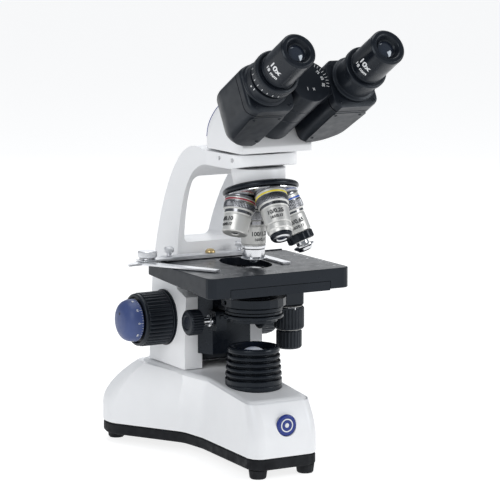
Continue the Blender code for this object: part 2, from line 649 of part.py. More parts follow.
OBJECTIVE_PROFILES = {
    "4x": [(0, 1.8), (8.5, 1.8), (8.5, -GAP), (11.7, -GAP), (11.7, -9), (10.6, -9.6), (10.6, -12.4),
           (10.2, -13), (9.4, -26.5), (0, -26.5)],
    "10x": [(0, 1.8), (8.5, 1.8), (8.5, -GAP), (12, -GAP), (12, -9.6), (10.8, -10.4), (10.8, -13.4),
            (10.3, -14), (9.8, -31), (8.8, -32), (7.6, -37.2), (0, -37.2)],
    "40x": [(0, 1.8), (8.5, 1.8), (8.5, -GAP), (12, -GAP), (12, -11.4), (10.8, -12.2), (10.4, -35),
            (9.6, -36), (5.2, -36), (5.2, -31), (0, -31)],
    "100x": [(0, 1.8), (8.5, 1.8), (8.5, -GAP), (12, -GAP), (12, -11.4), (10.6, -12.2), (10.2, -16),
             (9.4, -17), (9.2, -34), (6.2, -34), (6.2, -29), (0, -29)],
}

NOSE_PROFILES = {
    "40x": [(0, -34.2), (4.9, -34.2), (4.9, -39.0), (8.2, -39.0), (7.8, -40.6), (5, -43.2), (2.6, -43.8), (0, -43.8)],
    "100x": [(0, -31.6), (5.9, -31.6), (5.9, -36.6), (9.2, -36.6), (9.2, -41.8), (7, -42.6), (3, -45), (0, -45)],
}


def build_objectives(nose, turret):
    for quarter, name in enumerate(OBJECTIVES):
        frame = objective_frame(nose, name, quarter)
        join(turret, "seat_" + name, cylinder_mesh(12.4, 0, 1.4, steps=20), frame)
        cut(turret, "thread_" + name, cylinder_mesh(8.8, -4, 2.1, steps=14), frame)
    for quarter, name in enumerate(OBJECTIVES):
        frame = bpy.data.objects[name + "_frame"]
        add_turned("objective_" + name, OBJECTIVE_PROFILES[name], "chrome", frame, steps=18)
        if name in NOSE_PROFILES:
            add_turned("nose_" + name, NOSE_PROFILES[name], "satin_steel", frame, steps=16)


# ---------------------------------------------------------------- head

def head_sections():
    """Level rings of the head casting: (height, half width, rear y)."""
    rings = []
    for z, half, rear in ((246, 31, 35), (254, 31, 35), (262, 30.4, 34), (270, 29, 30.5), (278, 26.6, 24.5),
                          (285, 23.4, 16), (291, 19, 6), (295.5, 13, -4)):
        corner = min(half - 2, 24)
        ring = rounded([(-half, HEAD_FRONT_Y, 3), (half, HEAD_FRONT_Y, 3), (half, rear, corner),
                        (-half, rear, corner)], steps=4)
        rings.append([(x, y, z) for x, y in ring])
    return rings


def build_head(head, tube):
    shell = add_object("head_shell", loft_mesh(head_sections()), "white_paint", axis)
    cut(shell, "face_plane", box_mesh((-80, -80, HEAD_FACE), (80, 80, 120)), tube)
    join(shell, "dovetail", cylinder_mesh(24, HEAD_SEAT + GAP, 247, steps=24), axis)
    cut(shell, "head_bore", cylinder_mesh(11, 240, 262, steps=20), axis)
    trim_points = [(35.4, 256)] + bezier((35.4, 256), (35.2, 272), (18, 290), (-7, 297.3), 7)
    inner = [(y - 1.6 * 0.8, z - 1.4) for y, z in reversed(trim_points)]
    trim = outline_mesh(trim_points + inner, -6, 6, axis="X")
    trim_object = add_object("head_trim", trim, "badge_blue", axis)
    add_boolean(trim_object, shell_copy(shell), "DIFFERENCE")
    hub = [(0, 92), (6.8, 92), (6.8, 60), (HUB_RADIUS, 60), (HUB_RADIUS, HEAD_FACE + GAP), (0, HEAD_FACE + GAP)]
    add_turned("hinge_hub", hub, "black_plastic", tube)
    return head


def shell_copy(shell):
    """The head's outer surface, a little enlarged, used only to trim what rests on it."""
    grown = []
    for ring in head_sections():
        centre = Vector((0, sum(point[1] for point in ring) / len(ring), 0))
        grown.append([(x * 1.012, centre.y + (y - centre.y) * 1.008, z + 0.3) for x, y, z in ring])
    return add_cutter("head_trim_cutter", loft_mesh(grown), axis)


def prism_arm_sections(side):
    """The folding arm's outline seen from above, stacked through its depth with rounded edges."""
    levels = ((1.0, 1.0), (0.93, 0.5), (0.78, 0.14), (0.5, 0))
    levels += tuple((-depth, edge) for depth, edge in reversed(levels))
    sections = []
    for depth, edge in levels:
        inner, outer, rear = 17 + 5 * edge, 55 - 8 * edge, ARM_LOW + 1.5 * edge
        ring = rounded([(inner, rear, 2.5), (outer, rear, 30 - 8 * edge), (outer, ARM_HIGH, 3),
                        (inner, ARM_HIGH, 1)], steps=4)
        sections.append([(side * x, -depth * ARM_HALF_DEPTH - ARM_DROP, t) for x, t in ring])
    return sections


def build_prism_arm(name, side, tube, collar_low, collar_high):
    arm = add_object(name, loft_mesh(prism_arm_sections(side)), "black_plastic", tube)
    join(arm, name + "_collar", cylinder_mesh(HUB_RADIUS, collar_low, collar_high), tube)
    join(arm, name + "_web", box_mesh((min(side * 10, side * 22), -10, collar_low + 0.4),
                                      (max(side * 10, side * 22), 10, min(collar_high, ARM_HIGH) - 0.4)), tube)
    cut(arm, name + "_hinge_bore", cylinder_mesh(7.1, collar_low - 5, 92.5, steps=24), tube)
    cut(arm, name + "_tube_bore", cylinder_mesh(12.2, 82, 100, steps=24), tube, (side * HALF_PUPIL, 0, 0))
    return arm


def eyepiece_profile():
    """Satin barrel with a chamfered end ring and the insert that drops into the tube."""
    insert_end = 86
    return [(0, EYEPIECE_TOP - 4.5), (7.8, EYEPIECE_TOP - 3.6), (9.0, EYEPIECE_TOP - 0.4), (10, EYEPIECE_TOP),
            (12.6, EYEPIECE_TOP), (EYEPIECE_RADIUS, EYEPIECE_TOP - 1.2), (EYEPIECE_RADIUS, EYEPIECE_BASE),
            (EYEPIECE_INSERT_RADIUS, EYEPIECE_BASE), (EYEPIECE_INSERT_RADIUS, insert_end), (0, insert_end)]


def build_eyepieces(tube):
    bore = 11.8
    base = ARM_HIGH + GAP
    ring_low = 108.0
    ring_high = EYEPIECE_BASE - GAP
    left = (-HALF_PUPIL, 0, 0)
    right = (HALF_PUPIL, 0, 0)
    add_turned("left_tube", [(16.6, 104.8), (16.6, 97.5), (18, 96.8), (18, base), (14.8, base), (14.8, 104.8)],
               "black_plastic", tube, left, closed=True)
    add_turned("diopter_sleeve", [(14.4, ring_high - 0.4), (14.4, 98.5), (bore, 98.5), (bore, ring_high - 0.4)],
               "black_metal", tube, left, steps=24, closed=True)
    add_turned("diopter_ring", [(16.4, ring_high), (RING_RADIUS, ring_high - 1), (RING_RADIUS, ring_low + 0.6),
                                (16.9, ring_low), (14.7, ring_low), (14.7, ring_high)], "black_plastic", tube,
               left, closed=True)
    add_turned("right_tube", [(16.0, ring_high), (16.8, ring_high - 0.8), (16.8, 113), (TUBE_RADIUS, 112.2),
                              (TUBE_RADIUS, 97.5), (18, 96.8), (18, base), (bore, base), (bore, ring_high)],
               "black_plastic", tube, right, closed=True)
    for name, place in (("left_eyepiece", left), ("right_eyepiece", right)):
        add_turned(name, eyepiece_profile(), "black_metal", tube, place)


# ---------------------------------------------------------------- build

clear_scene()
scene_parts = make_collection("microscope")
scene_cutters = make_collection("cutters")
materials = make_materials()
axis = make_frame("optical_axis", place=AXIS_PLACE)
tube_frame = make_frame("eyepiece_frame", axis, (0, 0, PIVOT_Z), (pi / 2 - EYEPIECE_ANGLE, 0, 0))

build_base()
build_badge()
build_power()
build_lamp()
build_arm()
build_clamp_screws()
build_focus_knobs()
build_bracket()
build_stage()
build_slide_holder()
build_finger()
build_stage_knobs()
build_condenser()
nose_frame = nosepiece_frame()
build_objectives(nose_frame, build_nosepiece(nose_frame))
build_head(axis, tube_frame)
build_prism_arm("left_prism_arm", -1, tube_frame, 60.3, 76.0)
build_prism_arm("right_prism_arm", 1, tube_frame, 76.3, 97.0)
build_eyepieces(tube_frame)
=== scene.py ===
"""Looks of the binocular microscope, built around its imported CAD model.

Sizes are millimetres and the helper functions turn them into Blender's metres. Every piece is placed
from the optical axis or from a joint of the record. Pieces that stand for a CAD node keep its sizes and
add what it lacks: smooth curves, ribs, knurls, rings, lenses, screws and scales.
"""

import json
from collections import namedtuple
from math import atan2, cos, pi, radians, sin, tan

import bmesh
import bpy
from mathutils import Matrix, Vector


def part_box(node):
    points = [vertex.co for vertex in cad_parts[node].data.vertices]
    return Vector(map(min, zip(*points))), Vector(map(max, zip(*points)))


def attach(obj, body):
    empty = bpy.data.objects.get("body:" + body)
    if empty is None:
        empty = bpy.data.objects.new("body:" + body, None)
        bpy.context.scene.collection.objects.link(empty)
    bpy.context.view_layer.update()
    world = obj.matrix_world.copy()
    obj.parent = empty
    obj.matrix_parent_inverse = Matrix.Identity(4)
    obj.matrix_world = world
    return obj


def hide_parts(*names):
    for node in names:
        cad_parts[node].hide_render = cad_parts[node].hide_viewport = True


MM = 0.001
STEPS = 96  # points round a turned piece
SHARP = 36  # degrees: a sharper edge is shaded as a crease

# Stand
SHELL_BOTTOM = 16.0
BASE_FRONT_TOP = 60.3
COLUMN_FOOT = 69.1
COLUMN_FRONT_Y = 47.3
COLUMN_REAR_Y = 106.1
COLUMN_HALF_WIDTH = 35.3
ARM_TOP_HALF_WIDTH = 30.0
HEAD_SEAT = 243.5
SLOT_HALF_WIDTH = 19.3
SLOT_BACK_Y = 72.0
CLAMP_HOLES = ((1.5, 239.6), (-16, 239.4))  # (y, z) of the screws that hold the head
# One half of the base's outline at the bottom and at the top, as corners (x, y, radius).
BASE_FOOT = [(30, -52.5, 11), (26, 36, 40), (29, 62, 24), (63.5, 120, 18), (63.5, 148.5, 20)]
BASE_TOP = [(27, -40.5, 8), (27.5, 26, 16), (37, 46, 6), (40, 100, 8), (36, 119, 8)]
WALL_RISE = 0.3  # the share of the base's height below which its walls are upright
TOP_CLEARANCE = 0.35  # keeps the stage's bracket off the base at the bottom of its travel
SOCKET_OPENING = ((7.8, 128, 24.8), (36.2, 160, 45.2))
SWITCH_OPENING = ((-30.2, 128, 26.8), (-13.8, 160, 43.2))
LAMP_TOP = 93.1
LAMP_RADIUS = 22.0

# Focus
COARSE_RADIUS = 21.2
COARSE_INNER = 35.0
COARSE_OUTER = 60.0
FINE_OUTER = 74.2
FINE_RADIUS = 16.8

# Stage and condenser
STAGE_TOP = 155.2
STAGE_HALF_WIDTH = 61.4
STAGE_BACK_Y = 60.0

# Nosepiece
NOSE_TILT = radians(18.0)
SEAT_RADIUS = 17.4
TURRET_RADIUS = 28.5

# Head
HALF_PUPIL = 37.35
HEAD_FACE = 29.7
HEAD_FRONT_Y = -36.3
PIVOT_FROM_HINGE = 60.0
ARM_LOW, ARM_HIGH = 31.0, 95.0
ARM_HALF_DEPTH = 19.0
ARM_DROP = 2.3
ARM_INNER, ARM_OUTER = 17.0, 55.0
SEAM_HEIGHT = 86.5
HUB_RADIUS = 16.4
RING_RADIUS = 17.5
EYEPIECE_BASE = 117.3
EYEPIECE_TOP = 150.6
EYEPIECE_RADIUS = 13.8

# Camera
CAMERA_AIM = (74.5, 119.0, 145.4)
CAMERA_DISTANCE = 2153.8
CAMERA_AZIMUTH = radians(29.56)
CAMERA_ELEVATION = radians(8.70)
CAMERA_LENS = 189.2

SIDES = (("left", -1), ("right", 1))

# Rounded ribs round a turned piece, between two heights.
Band = namedtuple("Band", "radius count depth low high")

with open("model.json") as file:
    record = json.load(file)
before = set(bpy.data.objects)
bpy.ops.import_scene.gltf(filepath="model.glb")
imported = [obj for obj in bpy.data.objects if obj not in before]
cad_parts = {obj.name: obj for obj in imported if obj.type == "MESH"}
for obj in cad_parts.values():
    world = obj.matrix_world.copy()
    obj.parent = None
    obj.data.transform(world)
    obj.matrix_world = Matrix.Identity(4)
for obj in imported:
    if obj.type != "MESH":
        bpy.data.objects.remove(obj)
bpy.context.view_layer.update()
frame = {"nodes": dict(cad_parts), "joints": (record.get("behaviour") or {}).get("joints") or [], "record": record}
record = frame["record"]
joints = {joint["name"]: joint for joint in frame["joints"]}
body_of_node = {node: body for body, nodes in record["behaviour"]["bodies"].items() for node in nodes}


# -------- frames

def frame_along(point, direction, sideways=Vector((1, 0, 0))):
    """A frame at a point in millimetres whose Z runs along direction and whose X stays near sideways."""
    up = Vector(direction).normalized()
    across = (sideways - up * sideways.dot(up)).normalized()
    turn = Matrix((across, up.cross(across), up)).transposed().to_4x4()
    return Matrix.Translation(Vector(point) * MM) @ turn


def joint_point(name):
    return Vector(joints[name]["pos_m"]) / MM


def shift(x=0.0, y=0.0, z=0.0):
    return Matrix.Translation(Vector((x, y, z)) * MM)


def spin(angle, axis):
    """A turn about an axis, by an angle in degrees."""
    return Matrix.Rotation(radians(angle), 4, axis)


def node_middle(name):
    low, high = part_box(name)
    return (low + high) / 2 / MM


def find_frames():
    """The optical axis, the eyepiece tubes' frame and the nosepiece's frame, all from the record."""
    middle = node_middle("field_lens")
    optical = shift(middle.x, middle.y)
    hinge = joints["left_arm_fold"]
    pivot = Vector(hinge["pos_m"]) / MM - Vector(hinge["axis"]) * PIVOT_FROM_HINGE
    tube = frame_along(pivot, hinge["axis"])
    nose_up = Vector(joints["nosepiece_turn"]["axis"])
    rear_axis = Vector(joints["nose_100x_spring"]["axis"])
    rearward = nose_up * rear_axis.dot(nose_up) - rear_axis
    nose = frame_along(joint_point("nosepiece_turn"), nose_up, rearward.cross(nose_up))
    return optical, tube, nose


AXIS, TUBE, NOSE = find_frames()
NOSE_TURN = -atan2(NOSE[1][0], NOSE[0][0])  # turns what is placed round NOSE to face the front
BADGE_PLACE = frame_along((0, BASE_FOOT[0][1] + 3.3, 40), (0, -1, 0))
ALONG_LEFT = spin(-90, "Y")
ALONG_RIGHT = spin(90, "Y")


def objective_frame(quarter):
    angle = quarter * pi / 2
    place = shift(-SEAT_RADIUS * sin(angle), SEAT_RADIUS * cos(angle))
    return NOSE @ place @ Matrix.Rotation(angle, 4, "Z") @ Matrix.Rotation(NOSE_TILT, 4, "X")


# -------- materials

def set_inputs(node, values):
    for name, value in values.items():
        node.inputs[name].default_value = value


def surface(name, color, roughness, metallic=0.0, mottle=0.05, grain=1800, relief=0.15, streaks=None,
            shine=0.5):
    """Adds a painted, moulded or plated finish with a drifting tone, a varied gloss and a fine relief."""
    material = bpy.data.materials.new(name + "_finish")
    material.use_nodes = True
    nodes = material.node_tree.nodes
    links = material.node_tree.links
    shader = nodes["Principled BSDF"]
    tint = (1, 1, 1, 1) if metallic else (0.84, 0.92, 1.0, 1)
    set_inputs(shader, {"Metallic": metallic, "Specular IOR Level": shine, "Specular Tint": tint})
    where = nodes.new("ShaderNodeTexCoord").outputs["Object"]

    def noise(scale, detail, stretch=None):
        texture = nodes.new("ShaderNodeTexNoise")
        set_inputs(texture, {"Scale": scale, "Detail": detail})
        source = where
        if stretch:
            mapping = nodes.new("ShaderNodeMapping")
            mapping.inputs["Scale"].default_value = stretch
            links.new(source, mapping.inputs["Vector"])
            source = mapping.outputs["Vector"]
        links.new(source, texture.inputs["Vector"])
        return texture.outputs["Fac"]

    tones = nodes.new("ShaderNodeValToRGB")
    for element, position, share in zip(tones.color_ramp.elements, (0.32, 0.68), (1 - mottle, 1 + mottle)):
        element.position = position
        element.color = (*[min(part * share, 1) for part in color], 1)
    links.new(noise(55, 4), tones.inputs["Fac"])
    links.new(tones.outputs["Color"], shader.inputs["Base Color"])
    gloss = nodes.new("ShaderNodeMapRange")
    set_inputs(gloss, {"From Min": 0.3, "From Max": 0.7, "To Min": roughness * 0.8,
                       "To Max": min(roughness * 1.25, 1)})
    links.new(noise(140, 6, streaks), gloss.inputs["Value"])
    links.new(gloss.outputs["Result"], shader.inputs["Roughness"])
    bump = nodes.new("ShaderNodeBump")
    set_inputs(bump, {"Strength": relief, "Distance": 0.05 * MM})
    links.new(noise(grain, 2, streaks), bump.inputs["Height"])
    links.new(bump.outputs["Normal"], shader.inputs["Normal"])
    finishes[name] = material


finishes = {}
LATHED = (1, 1, 40)  # stretches a pattern into rings round a turned piece's own Z axis
BLACK = (0.0065, 0.0085, 0.0125)

surface("white_paint", (0.83, 0.835, 0.845), 0.36, mottle=0.012, grain=1500, relief=0.04)
surface("black_plastic", BLACK, 0.36, mottle=0.12, grain=2400, relief=0.12, shine=0.33)
surface("black_metal", BLACK, 0.28, mottle=0.12, grain=2000, relief=0.1, shine=0.26)
surface("stage_black", BLACK, 0.32, mottle=0.12, grain=1700, relief=0.02, shine=0.28)
surface("blue_plastic", (0.05, 0.075, 0.2), 0.38, mottle=0.08, grain=2400, shine=0.4)
surface("badge_blue", (0.01, 0.026, 0.2), 0.2, mottle=0.08, grain=1500, relief=0.05)
# A darker copy of chrome: painted shade under the turret, on the objectives' collars and necks and on their seats.
surface("shaded_chrome", (0.24, 0.245, 0.26), 0.2, 1.0, grain=900, relief=0.05, streaks=LATHED)
surface("chrome", (0.66, 0.67, 0.69), 0.12, 1.0, mottle=0.03, grain=900, relief=0.05, streaks=LATHED)
surface("satin_steel", (0.78, 0.79, 0.81), 0.34, 0.85, grain=1200, relief=0.08, streaks=(1, 12, 1))
surface("satin_chrome", (0.66, 0.66, 0.64), 0.42, 0.65, mottle=0.04, grain=1100, relief=0.08, streaks=LATHED)
surface("brass", (0.6, 0.45, 0.22), 0.3, 0.8, mottle=0.12, grain=1100, relief=0.1, streaks=LATHED)
surface("rubber", (0.009, 0.009, 0.01), 0.7, mottle=0.2, grain=1600, relief=0.4, shine=0.25)
surface("white_marks", (0.72, 0.73, 0.74), 0.5, grain=2600, relief=0.1)
surface("black_marks", (0.015, 0.015, 0.017), 0.45, mottle=0.15, grain=2600, relief=0.1)
surface("red_band", (0.28, 0.012, 0.03), 0.3, mottle=0.08)
surface("yellow_band", (0.8, 0.66, 0.02), 0.3)
surface("blue_band", (0.02, 0.1, 0.55), 0.3, mottle=0.08)
surface("glass", (0.012, 0.016, 0.026), 0.06, mottle=0.2, grain=600, relief=0.01, shine=0.9)
surface("blue_filter", (0.08, 0.16, 0.42), 0.08, grain=600, relief=0.01)
surface("frosted", (0.82, 0.84, 0.87), 0.35, mottle=0.06, grain=1500, relief=0.3)
surface("paper", (0.4, 0.4, 0.4), 0.8, mottle=0.004, grain=400, relief=0.01, shine=0.1)


# -------- pieces

def add_object(name, data):
    obj = bpy.data.objects.new(name, data)
    bpy.context.scene.collection.objects.link(obj)
    return obj


def add_bevel(obj, width, segments, angle):
    """Rounds the edges that are sharper than an angle in degrees, by a width in millimetres."""
    bevel = obj.modifiers.new("bevel", "BEVEL")
    bevel.width = width * MM
    bevel.segments = segments
    bevel.limit_method = "ANGLE"
    bevel.angle_limit = radians(angle)


def paint(obj, finish):
    obj.data.materials.clear()
    obj.data.materials.append(finishes[finish])


def show(name, mesh, body, finish, place=AXIS, bevel=0.0, replaced=None):
    """Adds a piece that moves with a body. A bevel in millimetres rounds its sharp edges."""
    obj = add_object(name, mesh)
    obj.matrix_world = place
    paint(obj, finish)
    if bevel:
        add_bevel(obj, bevel, 3, 38)
    obj.modifiers.new("normals", "WEIGHTED_NORMAL").keep_sharp = True
    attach(obj, body)
    if replaced:
        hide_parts(replaced)


def restyle(node, mesh, finish, place=AXIS, bevel=0.0):
    """Adds the piece that is seen in place of a CAD node."""
    show(node + "_look", mesh, body_of_node[node], finish, place, bevel, node)


def mark(name, mesh, body, place=AXIS):
    """Adds white lines or numerals."""
    show(name, mesh, body, "white_marks", place)


def smooth_mesh(shape):
    """The finished mesh of a bmesh, shaded smooth except across its sharp edges."""
    bmesh.ops.recalc_face_normals(shape, faces=shape.faces)
    for face in shape.faces:
        face.smooth = True
    for edge in shape.edges:
        edge.smooth = len(edge.link_faces) == 2 and edge.calc_face_angle(0) < radians(SHARP)
    mesh = bpy.data.meshes.new("shape")
    shape.to_mesh(mesh)
    shape.free()
    return mesh


def soften(profile, radius, closed):
    """A profile with each corner rounded, by no more than its shorter side allows."""
    steps = 3
    points = []
    for i, corner in enumerate(profile):
        if not closed and i in (0, len(profile) - 1):
            points.append(tuple(corner))
            continue
        corner = Vector(corner)
        before = Vector(profile[i - 1]) - corner
        after = Vector(profile[(i + 1) % len(profile)]) - corner
        start = corner + before.normalized() * min(radius, 0.45 * before.length)
        end = corner + after.normalized() * min(radius, 0.45 * after.length)
        for k in range(steps + 1):
            share = k / steps
            pull = corner * 2 * share * (1 - share)
            points.append(tuple(start * (1 - share) ** 2 + pull + end * share ** 2))
    return points


def add_rings(shape, rings, closed=False):
    """Joins rings of points with faces. A ring of one point closes a piece's end."""
    made = [[shape.verts.new(Vector(point) * MM) for point in ring] for ring in rings]
    pairs = list(zip(made, made[1:]))
    if closed:
        pairs.append((made[-1], made[0]))
    count = max(len(ring) for ring in rings)
    for lower, upper in pairs:
        for i in range(count):
            k = (i + 1) % count
            corners = (lower[i % len(lower)], lower[k % len(lower)],
                       upper[k % len(upper)], upper[i % len(upper)])
            corners = list(dict.fromkeys(corners))
            if len(corners) > 2:
                shape.faces.new(corners)
    return made


def circle(radius, height, steps):
    if radius < 1e-6:
        return [(0, 0, height)]
    angles = [2 * pi * i / steps for i in range(steps)]
    return [(radius * cos(angle), radius * sin(angle), height) for angle in angles]


def add_band(shape, band):
    """A sleeve of rounded ribs that run along a turned piece."""
    per_rib = 6
    steps = band.count * per_rib
    end = min(0.7, (band.high - band.low) / 4)
    rings = []
    for height, share in ((band.low, 0), (band.low + end, 1), (band.high - end, 1), (band.high, 0)):
        ring = []
        for i in range(steps):
            ridge = abs(sin(pi * i / per_rib)) ** 0.6
            radius = band.radius - band.depth + band.depth * ridge * share
            angle = 2 * pi * i / steps
            ring.append((radius * cos(angle), radius * sin(angle), height))
        rings.append(ring)
    add_rings(shape, rings)


def turned(profile, closed=False, soft=0.35, bands=(), steps=STEPS):
    """A turned piece from its (radius, height) profile, with ribbed bands round it."""
    points = soften(profile, soft, closed) if soft else profile
    shape = bmesh.new()
    add_rings(shape, [circle(radius, height, steps) for radius, height in points], closed)
    for band in bands:
        add_band(shape, band)
    return smooth_mesh(shape)


def hoop(profile, soft=0.35, bands=()):
    """A turned piece from a profile that closes on itself."""
    return turned(profile, True, soft, bands)


def block(low, high):
    """A box between two corners."""
    shape = bmesh.new()
    bmesh.ops.create_cube(shape, size=1.0)
    low, high = Vector(low) * MM, Vector(high) * MM
    for vertex in shape.verts:
        share = vertex.co + Vector((0.5, 0.5, 0.5))
        vertex.co = [low[i] + share[i] * (high[i] - low[i]) for i in range(3)]
    return smooth_mesh(shape)


def plates(size, places):
    """Many small thin plates as one mesh, each in a frame of its own."""
    shape = bmesh.new()
    for place in places:
        scale = Matrix.Diagonal((size[0] * MM, size[1] * MM, size[2] * MM, 1))
        bmesh.ops.create_cube(shape, size=1.0, matrix=place @ scale)
    return smooth_mesh(shape)


def rounded(corners, steps=10):
    """The outline through corners (x, y, radius), with an arc at each corner that has a radius."""
    outline = []
    for i, (x, y, radius) in enumerate(corners):
        corner = Vector((x, y))
        if radius == 0:
            outline.append((x, y))
            continue
        before = (Vector(corners[i - 1][:2]) - corner).normalized()
        after = (Vector(corners[(i + 1) % len(corners)][:2]) - corner).normalized()
        centre = corner + (before + after).normalized() * (radius / sin(before.angle(after) / 2))
        start = before * (centre - corner).dot(before) + corner - centre
        end = after * (centre - corner).dot(after) + corner - centre
        sweep = start.angle_signed(end)
        for k in range(steps + 1):
            spot = centre + Matrix.Rotation(-sweep * k / steps, 2) @ start
            outline.append((spot.x, spot.y))
    return outline


def slab(outline, low, high, axis="Z"):
    """A flat outline, in the two axes after `axis` in X, Y, Z order, made thick along it."""
    mesh = lofted([[(x, y, z) for x, y in outline] for z in (low, high)])
    if axis == "X":
        mesh.transform(Matrix(((0, 0, 1, 0), (1, 0, 0, 0), (0, 1, 0, 0), (0, 0, 0, 1))))
    return mesh


def lofted(sections):
    """A closed skin through a stack of rings that hold equally many points."""
    shape = bmesh.new()
    made = add_rings(shape, sections)
    shape.faces.new(made[0])
    shape.faces.new(made[-1])
    return smooth_mesh(shape)


def through(rows):
    """Rows of numbers, with smoothly placed rows added between each two."""
    steps = 4
    dense = []
    for i in range(len(rows) - 1):
        near = [Vector(rows[min(max(k, 0), len(rows) - 1)]) for k in (i - 1, i, i + 1, i + 2)]
        for k in range(steps):
            t = k / steps
            dense.append((near[1] + (near[2] - near[0]) * (t / 2)
                          + (near[0] * 2 - near[1] * 5 + near[2] * 4 - near[3]) * (t * t / 2)
                          + (near[1] * 3 - near[0] - near[2] * 3 + near[3]) * (t ** 3 / 2)))
    return dense + [Vector(rows[-1])]


def bezier(start, pull_start, pull_end, end, steps):
    """Points along a cubic curve, without its first point."""
    points = []
    for k in range(1, steps + 1):
        t = k / steps
        s = 1 - t
        points.append(tuple(s ** 3 * a + 3 * s * s * t * b + 3 * s * t * t * c + t ** 3 * d
                            for a, b, c, d in zip(start, pull_start, pull_end, end)))
    return points


def applied(holder):
    """A new mesh of an object with its modifiers applied. The object is removed."""
    bpy.context.view_layer.update()
    graph = bpy.context.evaluated_depsgraph_get()
    mesh = bpy.data.meshes.new_from_object(holder.evaluated_get(graph))
    bpy.data.objects.remove(holder)
    return mesh


def cut(mesh, place=Matrix()):
    return "DIFFERENCE", mesh, place


def join(mesh):
    return "UNION", mesh, Matrix()


def carved(mesh, *steps, bevel=None):
    """Applies steps of (operation, cutter, matrix), and a bevel (width, segments, angle) after the first."""
    holder = add_object("holder", mesh)
    cutters = []
    for operation, cutter_mesh, place in steps:
        cutter = add_object("cutter", cutter_mesh)
        cutter.matrix_world = place
        boolean = holder.modifiers.new("cut", "BOOLEAN")
        boolean.operation = operation
        boolean.solver = "EXACT"
        boolean.object = cutter
        if bevel and not cutters:
            add_bevel(holder, *bevel)
        cutters.append(cutter)
    result = applied(holder)
    for cutter in cutters:
        bpy.data.objects.remove(cutter)
    shape = bmesh.new()
    shape.from_mesh(result)
    bmesh.ops.remove_doubles(shape, verts=shape.verts, dist=1e-6)
    return smooth_mesh(shape)


def lettering(text, size, radius=None, around=0.0, height=0.0, thick=0.06):
    """Generic numerals as a mesh: flat in X-Y, or wrapped round a turned piece with their tops towards +Z."""
    curve = bpy.data.curves.new("numerals", "FONT")
    curve.body = text
    curve.size = size * MM
    curve.extrude = thick * MM
    curve.offset = 0.03 * size * MM
    curve.align_x = "CENTER"
    curve.align_y = "CENTER"
    curve.resolution_u = 3
    mesh = applied(add_object("numerals", curve))
    if radius:
        for vertex in mesh.vertices:
            x, y, z = vertex.co
            angle = x / (radius * MM) + around
            out = radius * MM + z
            vertex.co = (out * sin(angle), -out * cos(angle), y + height * MM)
    return mesh


def marks_round(radius, angles, size, height):
    """Upright index lines round a turned piece."""
    return plates(size, [Matrix.Rotation(angle, 4, "Z") @ shift(0, -radius, height) for angle in angles])


def screw_head(radius, rise):
    """A small screw head with a hollow for its key."""
    profile = [(0, rise * 0.25), (radius * 0.45, rise * 0.25), (radius * 0.5, rise), (radius * 0.85, rise),
               (radius, rise * 0.6), (radius, -0.4), (0, -0.4)]
    return turned(profile, soft=0.1, steps=32)


# -------- base

def base_outline(share, inset=0.0):
    """The base seen from above, at a share of its height: a narrow front, a waist and a wide rear."""
    lean = max(0.0, (share - WALL_RISE) / (1 - WALL_RISE)) ** 1.7
    half = []
    for i, (low, high) in enumerate(zip(BASE_FOOT, BASE_TOP)):
        x, y, radius = [a + (b - a) * lean for a, b in zip(low, high)]
        y += inset if i == 0 else (-inset if i == len(BASE_FOOT) - 1 else 0)
        radius = radius + inset if i in (1, 2) else max(radius - inset, 2)
        half.append((x - inset, y, radius))
    return rounded(half + [(-x, y, radius) for x, y, radius in reversed(half)], steps=9)


def base_top_height(y):
    share = min(max((y + 22) / (COLUMN_FRONT_Y + 22), -0.3), 1)
    return BASE_FRONT_TOP + (COLUMN_FOOT - 0.3 - BASE_FRONT_TOP) * share


def base_ring(share, inset=0.0, drop=0.0):
    return [(x, y, SHELL_BOTTOM + (base_top_height(y) - SHELL_BOTTOM) * share - drop)
            for x, y in base_outline(share, inset)]


def build_base():
    walls = 14
    sections = [base_ring(0, 0.8, 0.0), base_ring(0, 0.2, -0.3)]
    sections += [base_ring(0.015 + 0.935 * i / walls) for i in range(walls + 1)]
    rim = 4.5
    for k in range(1, 6):
        angle = pi / 2 * k / 5
        sections.append(base_ring(1, rim * (1 - cos(angle)), rim * (1 - sin(angle)) + TOP_CLEARANCE))
    shape = bmesh.new()
    top = add_rings(shape, sections)[-1]
    count = len(top)
    for i in range(count // 2 - 1):
        shape.faces.new((top[i], top[i + 1], top[count - 2 - i], top[count - 1 - i]))
    badge_recess = turned([(0, 9), (8.5, 9), (8.5, -0.2), (0, -0.2)], soft=0)
    body = carved(smooth_mesh(shape), cut(block(*SOCKET_OPENING)), cut(block(*SWITCH_OPENING)),
                  cut(badge_recess, BADGE_PLACE))
    restyle("base_shell", body, "white_paint")


def build_badge():
    """A plain blue disc with a white ring and dot, sunk in the front of the base."""
    place = AXIS @ BADGE_PLACE
    disc = [(0, 2.0), (7.4, 2.0), (8.2, 1.5), (8.3, 1.0), (8.3, 0), (0, 0)]
    restyle("front_badge", turned(disc, soft=0.2), "badge_blue", place)
    ring = [(4.3, 2.15), (5.2, 2.15), (5.2, 1.9), (4.3, 1.9)]
    mark("badge_ring", hoop(ring, soft=0.05), "stand", place)
    dot = [(0, 2.15), (1.7, 2.15), (1.8, 1.9), (0, 1.9)]
    mark("badge_dot", turned(dot, soft=0.05, steps=32), "stand", place)


